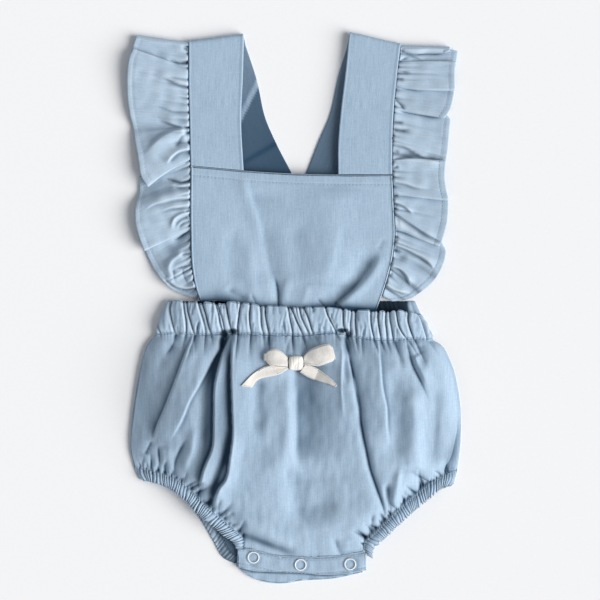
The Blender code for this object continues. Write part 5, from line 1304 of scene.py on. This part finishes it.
ruffleSettings = {"across": 45, "step": 0.75, "over": 15, "behind": 121, "wall": 1.0, "gathers": 34,
                  "valley": 2.6, "hem": 4.4, "turnReach": 0.9, "creased": 1.4, "sunk": 0.6,
                  "paintedPaleness": 0.16}     # painted light: a ruffle's single layer is painted this much paler than the doubled pieces, standing in for the stronger light it catches
ruffleLeftCreases = [
    ("sharp", "up", 0.9, 1.6, -1.8, 0, 0.5, (-85.1, 212.3), (-93.9, 214.9), (-103.8, 216.2)),
    ("sharp", "up", 1.2, 1.2, -1.6, 0, 0.6, (-84.7, 206.2), (-87.7, 208.3), (-90, 209.4)),
    ("sharp", "up", 1, 1.6, -2.6, 0, 0.5, (-84.5, 196.3), (-93.9, 196.8), (-98.5, 198.7), (-101.5, 200.5)),
    ("edge", "up", 9, 2.4, 1.7, 0, 0.5, (-84.5, 177.3), (-92.3, 179.6), (-101.5, 183.8), (-113, 186.1)),
    ("sharp", "up", 1, 1.5, -1.2, 0, 0.6, (-85.1, 157.2), (-98.5, 158.1), (-106.9, 161.2), (-116.1, 163.5)),
    ("edge", "up", 8, 3, 1.9, 0, 0.5, (-85.4, 145.7), (-94.6, 146.6), (-101.5, 149.3), (-109.9, 152.4)),
    ("soft", "up", 2.6, 7, 2.4, 0.1, 0.4, (-85.4, 143.6), (-96.9, 140.5), (-104.6, 136.7), (-112.2, 129.8),
     (-119.1, 120.6)),
    ("sharp", "up", 1, 1.8, -1.2, 0, 0.5, (-85.4, 140.1), (-89.3, 137.8), (-92.3, 132.5), (-94.6, 128.3)),
    ("soft", "up", 3, 3, -1.2, 0, 0.4, (-85.1, 132.9), (-90.8, 132.9), (-96.9, 128.3)),
    ("edge", "up", 6, 3, 2.4, 0, 0.3, (-84.7, 126.6), (-92.3, 124.4), (-96.2, 121.4), (-101.5, 115.3)),
    ("sharp", "up", 1.2, 1.6, -2, 0, 0.5, (-84, 101.5), (-90.8, 101), (-96.7, 102.6), (-105.6, 106)),
    ("soft", "up", 1.4, 1.6, 1.3, 0, 0.4, (-84, 99.5), (-90.8, 98.8), (-98.2, 100), (-103.4, 101.5)),
    ("sharp", "up", 1, 2, -1.7, 0, 0.5, (-84, 97.3), (-90.8, 96.7), (-96.7, 98)),
    ("soft", "up", 3, 5, 1.5, 0, 0.4, (-84, 94.1), (-93.8, 92.6), (-105.6, 89.7), (-120.4, 85.6)),
    ("edge", "up", 5, 2.2, 1.3, 0, 0.4, (-84, 88.2), (-93.8, 87.7), (-104.1, 85), (-113.7, 82.1),
     (-120.4, 76.7)),
    ("edge", "up", 5, 2.4, 1.5, 0, 0.6, (-83.9, 81.2), (-90.8, 80.9), (-99.7, 80), (-107.1, 76.7)),
    ("sharp", "up", 1, 1, -1.4, 0, 0.6, (-83.9, 78.4), (-87.1, 77.8)),
    ("soft", "up", 1.3, 1.6, 1.4, 0, 0.4, (-83.9, 76.7), (-90.8, 74.9), (-95.3, 71.9), (-97.1, 67.9),
     (-97.5, 61.9)),
    ("sharp", "up", 1, 1.6, -1.4, 0.1, 0.4, (-84.2, 73.8), (-90.1, 71.6), (-93.8, 67.9), (-94.9, 63.4)),
    ("sharp", "up", 1, 1.4, -1.4, 0, 0.5, (-83.9, 69.9), (-87.9, 68.7), (-90.8, 66.2), (-91.6, 61.9)),
    ("sharp", "down", 2, 1, -3, 0, 0.6, (-83.4, 62.5), (-87.9, 59.9), (-92.3, 56.8), (-98.2, 54.2)),
    ("soft", "down", 6, 4, -1.6, 0, 0.5, (-87.9, 56), (-99.7, 50.1), (-109.3, 44.9)),
    ("sharp", "up", 1, 1.4, -1.8, 0, 0.5, (-83.7, 44.3), (-87.9, 43.7), (-91.2, 42)),
    ("soft", "left", 3, 2, 1.6, 0.2, 0.3, (-87.1, 46.4), (-93.8, 42), (-98.2, 37.5), (-99.8, 32.4),
     (-98.2, 27.2), (-96, 22)),
    ("sharp", "up", 1, 1.4, -1.8, 0, 0.5, (-83, 35.3), (-89.3, 33.4), (-96, 32.2)),
    ("sharp", "left", 1.2, 1.2, -1, 0.2, 0.4, (-96, 32.4), (-96, 26.4), (-93.8, 19.8)),
    ("sharp", "left", 1.2, 1.6, -1, 0.2, 0.4, (-89.3, 33.1), (-87.9, 26.4), (-84.2, 19)),
    ("edge", "up", 5, 2.6, 2.4, 0, 0.3, (-79.7, 17.4), (-86.4, 16.2), (-93.8, 17.7), (-99, 21.3),
     (-104.1, 26.1)),
]
ruffleRightCreases = [
    ("sharp", "up", 1.2, 1.8, -2.8, 0, 0.3, (85.5, 206.2), (94.6, 203.4), (105.4, 204.2), (116.8, 204.8),
     (123, 206.5)),
    ("edge", "up", 5, 2, 1.1, 0.1, 0.4, (85.8, 205), (93.9, 202.7), (100, 200.1), (103.8, 197.9)),
    ("sharp", "up", 1, 1.2, -1.4, 0, 0.5, (84.3, 197.6), (88.5, 200.2), (91.6, 201.8)),
    ("sharp", "up", 1, 1.4, -1.4, 0, 0.6, (83.5, 190.1), (88.5, 189.4), (93.9, 188.1)),
    ("sharp", "up", 1, 1.6, -1, 0, 0.6, (82.8, 184.5), (88.5, 182.6)),
    ("sharp", "down", 1.6, 1, -1.4, 0, 0.5, (82.4, 177.3), (90, 176), (99.2, 174.4), (105.4, 174.5)),
    ("sharp", "right", 1.2, 1.4, -1.9, 0, 0.4, (81.6, 166.4), (85.5, 162.7), (88.1, 158.1)),
    ("sharp", "down", 2.2, 1, -2, 0.2, 0.3, (80.9, 159.2), (88.5, 157.5), (97.7, 155.8), (109.2, 154.1),
     (119.9, 153)),
    ("sharp", "up", 1, 1.2, -1.4, 0, 0.6, (80.9, 149.2), (88.5, 148.8)),
    ("sharp", "up", 1, 1.2, -1.3, 0, 0.6, (80.9, 143), (88.5, 142.7), (93.9, 143.9)),
    ("sharp", "up", 1, 1.2, -1, 0, 0.6, (80.9, 142.8), (90, 141.3), (96.9, 140.4)),
    ("edge", "up", 8, 1.8, 1.1, 0, 0.3, (79.9, 132.3), (87, 130.2), (94.6, 126.1), (105.4, 119.9),
     (110.7, 118.6)),
    ("sharp", "up", 1, 1.2, -1.2, 0, 0.6, (79.9, 126.1), (84.7, 125.6)),
    ("edge", "down", 6, 3, 1.8, 0, 0.3, (80.2, 118.9), (90, 120.2), (97.7, 120.5), (105.4, 119.5),
     (120.7, 117.1)),
    ("sharp", "up", 1.2, 1.6, -2, 0, 0.6, (79.3, 112.6), (83.9, 114.1)),
    ("edge", "up", 6, 3.2, 1.5, 0, 0.6, (79.8, 101.5), (88, 99.9), (95.4, 97.4), (104.3, 95.8), (110.2, 96)),
    ("sharp", "up", 1.4, 1.4, -1.4, 0, 0.6, (79.8, 89.6), (83.5, 92.1)),
    ("edge", "up", 4, 2.2, 1.7, 0, 0.4, (79.8, 85), (86.5, 82.3), (91.7, 78.2), (95, 74.5)),
    ("sharp", "up", 1.2, 1.2, -1.3, 0, 0.6, (79.8, 80.4), (83.5, 78.2)),
    ("edge", "up", 6, 2.2, 2, 0, 0.3, (80.6, 76.4), (85, 73.2), (93.9, 67.3), (102.8, 61.2), (114.6, 53.2)),
    ("sharp", "up", 1.2, 1.2, -1.2, 0, 0.6, (80, 70.8), (85, 70.1)),
    ("sharp", "down", 2, 1, -3.4, 0, 0.75, (80.7, 62.8), (87.2, 61.2), (95.4, 58.1), (106.5, 54.4)),
    ("sharp", "up", 1.2, 1.2, -1.2, 0, 0.6, (80, 57.9), (84.3, 57.5)),
    ("sharp", "up", 1.2, 1.2, -1.2, 0, 0.6, (80, 54.9), (83.5, 55.1)),
    ("edge", "up", 6, 4, 2.2, 0, 0.3, (80.2, 51), (88, 48), (95.4, 44.3), (102.8, 40.3), (108.7, 35.2),
     (112.4, 29)),
    ("soft", "down", 4, 3, -1.8, 0, 0.5, (79.8, 46.4), (85, 42), (91.7, 42.3)),
    ("edge", "up", 5, 4.5, 2.2, 0, 0.3, (77.3, 34), (84.3, 31.5), (88.7, 27.2), (91.3, 22.7), (93.2, 17.6)),
    ("edge", "up", 4, 3.5, 2, 0, 0.4, (73.2, 19.2), (79.1, 15.3), (86.5, 13), (93.2, 12.2)),
    ("sharp", "up", 1.2, 1.2, -1.2, 0, 0.6, (75.8, 27.5), (79.8, 28.7)),
]


def ruffleLines(front):
    lines = []
    hem = np.stack([front["hem_x"], front["hem_y"]], axis=1)
    others = zip(*(front[name] for name in ("seam_y", "hem_z", "bow", "turn")))
    for i, (seamY, z, bow, turn) in enumerate(others):
        lines.append((seamY, *hem[i], z, bow))
        if turn:
            onward = (hem[i] - hem[i - 1]) / np.linalg.norm(hem[i] - hem[i - 1])
            lines.append((seamY - 0.1, *(hem[i] + onward * ruffleSettings["turnReach"]), z - turn / 2, bow))
            lines.append((seamY - 0.2, *hem[i], z - turn, bow))
    return np.array(lines)


def makeRuffle(name, seam, strapBack, front, creases, seed):
    b = ruffleSettings
    lines = ruffleLines(front)
    knots = runOf(lines[:, 1:4])
    at = np.linspace(0, knots[-1], int(knots[-1] / b["step"]) // 2 * 2 + 1)
    lines = gentle(at, knots, lines)
    seamLine = path(seam, "x", "y")(np.linspace(0, 1, 2000))
    side = np.sign(front["hem_x"][0])
    seamX = np.interp(-lines[:, 0], -seamLine[:, 1], seamLine[:, 0]) + side * layers["ruffleGap"]
    seamZ = np.interp(lines[:, 0], [bibTop["y"].max(), front["seam_y"][0]],
                      [layers["bib"] - b["sunk"], layers["shoulder"] - b["sunk"]])
    before = np.column_stack([seamX, lines[:, 0], seamZ, lines[:, 1:4]])

    along = np.linspace(ruffleBack["along"][0], 1, b["behind"])
    sections = path(strapBack, "outer_x", "outer_y", "inner_x", "inner_y")(along)
    start, outward = sections[:, :2], sections[:, :2] - sections[:, 2:]
    outward /= np.linalg.norm(outward, axis=1, keepdims=True)
    width = np.interp(along, ruffleBack["along"], ruffleBack["width"])[:, None]
    low = np.full(len(along), b["wall"] / 2)
    behind = np.column_stack([start + outward * layers["ruffleGap"], low, start + outward * width, low])
    arc = shoulderArc(before[0, :2], before[0, 3:5], before[0, 2], b["wall"] / 2, b["over"])
    rows = np.concatenate([behind, arc, before])
    hidden = len(behind) + len(arc)
    isFront = np.concatenate([np.zeros(hidden), np.ones(len(before))])[:, None]
    bow = np.concatenate([np.zeros(hidden), lines[:, 4]])[:, None]
    t = places(b["across"], 42)[None, :]
    middle = rows[:, None, :3] + (rows[:, None, 3:] - rows[:, None, :3]) * t[..., None]
    middle[..., 2] = rows[:, None, 2] + (rows[:, None, 5] - rows[:, None, 2]) * np.sin(0.5 * math.pi * t)
    middle[..., 1] += 4 * bow * t * (1 - t)
    deepWidth = np.linalg.norm(rows[:, 3:] - rows[:, :3], axis=1)[:, None]
    away, fromHem = t * deepWidth, (1 - t) * deepWidth
    seamRun, hemRun = runOf(rows[:, :3])[:, None], runOf(rows[:, 3:])[:, None]
    phase = gatherPhase(seamRun / 200, b["gathers"], seed) + 0 * away
    pinches = gathers(phase, away, b["valley"], 3.0, 19.0, seed)
    relief = b["creased"] * creaseRelief(middle[..., :2], creases) * np.clip(away / 1.0, 0.4, 1)
    lift = isFront * (relief + pinches + 0.18 * crumple(middle[..., :2], 14, seed))
    lift = lift + (1 - isFront) * 0.3 * np.maximum(pinches, 0)
    lift -= isFront * 1.4 * fading(away, 0.7)
    pucker = 0.06 * np.sin(hemRun * 2 * math.pi / 3.4 + 2 * np.sin(hemRun / 7))
    hemRidge = 0.22 * ease((b["hem"] - fromHem) / 0.6) - (0.3 + pucker) * fading(fromHem - b["hem"], 0.55, 2)
    lift += isFront * hemRidge
    normal = surfaceNormals(middle) * -side
    up = np.array([0, 0, 1.0])
    face = middle + normal * b["wall"] / 2 + up * lift[..., None]
    under = middle - normal * b["wall"] / 2 + up * (isFront * lift)[..., None]
    for layer, least in ((face, 0.45), (under, 0)):
        layer[..., 2] = np.maximum(layer[..., 2], least)
    paintedShade, wearAndHighlight = paintedShadeAndWearOf(face[..., 2], 2, 7, 1.8)
    sewStitches(name + "_hem_stitches", [lineAt(face[hidden:], -fromHem[hidden:], -b["hem"])])
    grain = np.stack([hemRun + 0 * away, away], axis=-1)
    return clothPiece(name, face, under, grain, chambray, paintedShade * isFront, b["paintedPaleness"] + wearAndHighlight * isFront)


# bow

bowSettings = {"wall": 0.9, "room": 1.2, "edge": 2.8, "dome": 2.4, "x": 1.6, "y": -42.8, "half": 6.0,
               "base": 17.2, "fall": 0.1}     # lowest the tape lies at the knot, and how much lower per mm away
bowLoopLeft = table("upper_x upper_y lower_x lower_y open",
    (-5.0, -38.2, -5.0, -46.0, 1.8), (-10.0, -33.6, -10.4, -46.6, 3.2), (-15.4, -31.4, -16.0, -45.8, 4.0),
    (-19.8, -32.8, -20.2, -43.6, 3.6), (-22.2, -35.2, -22.4, -41.2, 2.6))
bowLoopRight = table("upper_x upper_y lower_x lower_y open",
    (7.6, -37.4, 7.6, -44.6, 1.8), (12.4, -32.6, 13.6, -44.6, 2.8), (18.6, -29.6, 20.2, -45.2, 3.6),
    (24.4, -27.8, 26.8, -42.8, 3.4), (28.0, -27.9, 31.0, -41.0, 2.6), (28.9, -29.0, 31.7, -39.8, 2.2))
bowTailLeft = table("upper_x upper_y lower_x lower_y",
    (-5.4, -44.0, -4.4, -47.6), (-18.6, -44.0, -12.6, -52.0),
    (-31.4, -50.4, -27.4, -55.6), (-42.0, -60.8, -33.4, -62.2))
bowTailRight = table("upper_x upper_y lower_x lower_y",
    (9.4, -43.6, 4.6, -50.2), (17.4, -46.6, 12.0, -54.6), (25.0, -51.8, 20.6, -57.6),
    (30.8, -56.4, 27.6, -59.6), (34.4, -60.4, 33.0, -61.8))


# height of the highest of these pieces at points of the plan, a little to every side included
def topOf(*things):
    b = bowSettings
    around = [(dx, dy) for dx in (-b["room"], 0, b["room"]) for dy in (-b["room"], 0, b["room"])]
    trees = []
    for thing in things:
        points = [vertex.co / mm for vertex in thing.data.vertices]
        trees.append(BVHTree.FromPolygons(points, [tuple(face.vertices) for face in thing.data.polygons]))

    def height(plan):
        z = np.zeros(plan.shape[:-1])
        for at in np.ndindex(z.shape):
            for dx, dy in around:
                start = Vector((plan[at][0] + dx, plan[at][1] + dy, 100))
                hits = [tree.ray_cast(start, Vector((0, 0, -1)))[0] for tree in trees]
                z[at] = max([z[at]] + [hit.z for hit in hits if hit])
        away = np.hypot(plan[..., 0] - b["x"], plan[..., 1] - b["y"])
        return np.maximum(blurred(z, 2), b["base"] - b["fall"] * away)     # a stiff knot bridges a hollow
    return height


def tapeWall(name, middle, lift, grain):
    normal = surfaceNormals(middle)
    normal *= np.sign(np.mean(normal[..., 2][: len(normal) // 2])) or 1.0
    wall = bowSettings["wall"]
    face = middle + normal * (wall / 2 + lift[..., None])
    return clothPiece(name, face, middle - normal * wall / 2, grain, tape)


def makeTail(name, rows, under, seed):
    u, w = np.meshgrid(places(17, 8), places(45, 40))
    sides = path(rows, "upper_x", "upper_y", "lower_x", "lower_y")(w)
    plan = sides[..., :2] + (sides[..., 2:] - sides[..., :2]) * u[..., None]
    fold = 0.5 * np.sin(2 * math.pi * (1.3 * u + 0.2 * seed)) * fading(w, 0.35) + 0.15 * crumple(plan, 9, seed)
    selvedge = 0.18 * fading(np.minimum(u, 1 - u), 0.07, 2)
    z = under(plan) + layers["layer"] + bowSettings["wall"] / 2
    grain = np.stack([u * 9, w * 42], axis=-1)
    return tapeWall(name, withHeight(plan, z + 0.5 * np.maximum(fold, 0)), fold * 0.5 + selvedge, grain)


def makeLoop(name, rows, under, seed):
    out, turn = np.linspace(0, 1, 30), np.linspace(-0.5, 0.5, 11)[1:-1]
    angle = math.pi * np.concatenate([0 * out - 0.5, turn, 0 * out + 0.5])[:, None]
    u, w = np.meshgrid(places(17, 12), np.concatenate([out, 0 * turn + 1, out[::-1]]))
    sides = path(rows, "upper_x", "upper_y", "lower_x", "lower_y", "open")(w)
    plan = sides[..., :2] + (sides[..., 2:4] - sides[..., :2]) * u[..., None]
    rest = under(plan) + layers["layer"] + bowSettings["wall"] / 2
    radius = 0.5 * sides[..., 4]
    plan[..., 0] += np.sign(rows["upper_x"][-1] - rows["upper_x"][0]) * radius * np.cos(angle)
    middle = withHeight(plan, rest + radius * (1 + np.sin(angle)))
    pleat = fading(w, 0.3) * np.sin(2 * math.pi * (1.6 * u + 0.3 * seed)) * 0.45
    onTop = np.broadcast_to(np.clip(np.sin(angle), 0, 1), u.shape)
    grain = np.stack([u * 10, w * 30 + 40 * onTop], axis=-1)
    return tapeWall(name, middle, onTop * (pleat + 0.12 * crumple(plan, 8, seed)), grain)


def makeKnot(under):
    b = bowSettings
    u, v = np.meshgrid(2 * places(41, 12) - 1, 2 * places(41, 12) - 1)
    plan = np.stack([b["x"] + b["half"] * u * np.sqrt(1 - 0.3 * v**2),
                     b["y"] + b["half"] * v * np.sqrt(1 - 0.3 * u**2)], axis=-1)
    low = under(plan) + layers["layer"]
    dome = (1 - np.abs(u) ** 3) * (1 - v**4)
    wraps = -0.3 * fading(u + 0.42 + 0.08 * v, 0.10, 2) - 0.32 * fading(u - 0.22 - 0.10 * v, 0.10, 2)
    face = withHeight(plan, low + b["edge"] + b["dome"] * dome + wraps)
    return clothPiece("tape_knot", face, withHeight(plan, low), plan, tape)


# snap rings

ringSettings = {"outer": 4.7, "inner": 3.8, "high": 0.8, "steps": 56, "rounding": 0.32}
snaps = ((-32.4, -198.4), (5.2, -204.2), (44.8, -203.7))


# a small section beside the axis, spun round it and bevelled
def makeRing(name, x, y, z):
    b = ringSettings
    bpy.ops.object.select_all(action="DESELECT")
    bpy.ops.mesh.primitive_plane_add(size=2, location=(0, 0, 0))
    ring = bpy.context.object
    ring.name = ring.data.name = name
    middle, half = (b["inner"] + b["outer"]) / 2 * mm, (b["outer"] - b["inner"]) / 2 * mm
    for vertex in ring.data.vertices:     # stand the square up as the ring's section
        vertex.co = Vector((middle + vertex.co.x * half, 0, (vertex.co.y + 1) / 2 * b["high"] * mm))
    bpy.ops.object.mode_set(mode="EDIT")
    bpy.ops.mesh.select_all(action="SELECT")
    bpy.ops.mesh.delete(type="ONLY_FACE")
    bpy.ops.mesh.select_all(action="SELECT")
    bpy.ops.mesh.spin(steps=b["steps"], angle=2 * math.pi, center=(0, 0, 0), axis=(0, 0, 1))
    bpy.ops.mesh.select_all(action="SELECT")
    bpy.ops.mesh.remove_doubles(threshold=0.00001)
    bpy.ops.mesh.normals_make_consistent(inside=False)
    bpy.ops.object.mode_set(mode="OBJECT")
    bevel = ring.modifiers.new("rounded", "BEVEL")
    bevel.width, bevel.segments = b["rounding"] * mm, 3
    bevel.limit_method, bevel.angle_limit = "ANGLE", math.radians(60)
    bpy.ops.object.modifier_apply(modifier=bevel.name)
    ring.data.shade_smooth()
    ring.data.transform(Matrix.Translation((x * mm, y * mm, z * mm)))
    ring.data.materials.append(enamel)
    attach(ring, "root")
    return ring


# making the garment

front = makeBloomerFront()
sew(front, "bloomer_front")
sew(makeBloomerBack(), "bloomer_back")
print("bloomers made")
sew(makeWaistbandFront(), "waistband_front")
sew(makeWaistbandBack(), "waistband_back")
sew(makeLegCasing("front_leg_casing_left", legFrontLeft, casingEnds["left"], legSeeds["left"], -1.0),
    "leg_casing_front_left")
sew(makeLegCasing("front_leg_casing_right", legFrontRight, casingEnds["right"], legSeeds["right"], 1.0),
    "leg_casing_front_right")
sew(makeBackCasing("back_leg_casing_left", legBackLeft, 3, backCasingEnd),
    "leg_casing_back_left")
sew(makeBackCasing("back_leg_casing_right", legBackRight, 7), "leg_casing_back_right")
print("waistband and leg casings made")
sew(makePlacket("front_snap_placket", placketFront, layers["crotch"], (1.6, 12.2), snaps),
    "placket_front")
sew(makePlacket("back_snap_placket", placketBack, layers["backTop"] + 1.6, (2.2, 10.0)),
    "placket_back")
sew(makeBib(), "front_bib")
sew(makeStrap("shoulder_strap_left", strapLeftBack, strapLeftFront, -1.0),
    "strap_left")
sew(makeStrap("shoulder_strap_right", strapRightBack, strapRightFront, 1.0), "strap_right")
print("bib, straps and plackets made")
sew(makeRuffle("gathered_ruffle_left", ruffleSeamLeft, strapLeftBack, ruffleLeftFront, ruffleLeftCreases, 3),
    "ruffle_left")
sew(makeRuffle("gathered_ruffle_right", ruffleSeamRight, strapRightBack, ruffleRightFront,
               ruffleRightCreases, 8),
    "ruffle_right")
print("ruffles made")

onPanel = topOf(front)
tails = [makeTail("tape_tail_left", bowTailLeft, onPanel, 1),
         makeTail("tape_tail_right", bowTailRight, onPanel, 2)]
for tail, node, length in zip(tails, ("bow_tail_left", "bow_tail_right"), (40, 27)):
    sew(tail, node)
onTails = topOf(front, *tails)
for name, rows, seed in (("left", bowLoopLeft, 3), ("right", bowLoopRight, 4)):
    sew(makeLoop(f"tape_loop_{name}", rows, onTails, seed), f"bow_loop_{name}")
sew(makeKnot(onPanel), "bow_knot")
for number, (x, y) in enumerate(snaps):
    ring = makeRing(f"enamel_ring_{number + 1}", x, y, layers["crotch"] + layers["layer"])
    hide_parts(f"snap_ring_{number + 1}")
print("bow and snap rings made")

# table, light and camera


# White matt laminate of a photographer's table: even and faintly warm, with a very fine tooth.
def makeTableTop():
    made, tree, shader = newMaterial("white_matt_laminate")
    place = addNode(tree, "ShaderNodeTexCoord")
    tooth = addNode(tree, "ShaderNodeTexNoise", values={"Scale": 350.0, "Detail": 3.0},
                    links={"Vector": place.outputs["Object"]})
    base = addNode(tree, "ShaderNodeMix", {"data_type": "RGBA"},
                   {6: toLinear("#F7F7F7"), 7: toLinear("#FBFBFB")}, {0: tooth.outputs["Fac"]})
    tree.links.new(base.outputs[2], shader.inputs["Base Color"])
    shader.inputs["Roughness"].default_value = 0.8
    return made


bpy.ops.object.select_all(action="DESELECT")
bpy.ops.mesh.primitive_plane_add(size=6, location=(0, 0, -0.0002))
floor = bpy.context.object
floor.name = "table_top"
floor.data.materials.append(makeTableTop())

# angles are in degrees, and the key comes from the lower right
lighting = {"sky": 0.35, "key": 3.64, "turn": -20.0, "rise": 34.0, "spread": 48.0}
world = bpy.data.worlds.new("soft studio")
bpy.context.scene.world = world
world.use_nodes = True
sky = world.node_tree.nodes["Background"]
sky.inputs["Color"].default_value = toLinear("#F1F6FE")
sky.inputs["Strength"].default_value = lighting["sky"]

# a wide softbox far off, as even over the table as a sun
key = bpy.data.lights.new("key softbox", "SUN")
key.energy, key.angle, key.color = lighting["key"], math.radians(lighting["spread"]), (1.0, 0.985, 0.97)
keyLight = bpy.data.objects.new("key softbox", key)
keyLight.rotation_euler = (0, math.radians(90 - lighting["rise"]), math.radians(lighting["turn"]))
bpy.context.scene.collection.objects.link(keyLight)

cameraSettings = {"x": 4.8, "y": 7.2, "high": 2.5, "wide": 480.0, "sensor": 36.0}     # high is in metres
camera = bpy.data.objects.new("overhead camera", bpy.data.cameras.new("overhead camera"))
camera.location = (cameraSettings["x"] * mm, cameraSettings["y"] * mm, cameraSettings["high"])
camera.data.sensor_width = cameraSettings["sensor"]
camera.data.lens = cameraSettings["sensor"] * cameraSettings["high"] / (cameraSettings["wide"] * mm)
camera.data.clip_end = 20
bpy.context.scene.collection.objects.link(camera)
bpy.context.scene.camera = camera
bpy.context.scene.view_settings.view_transform = "Standard"
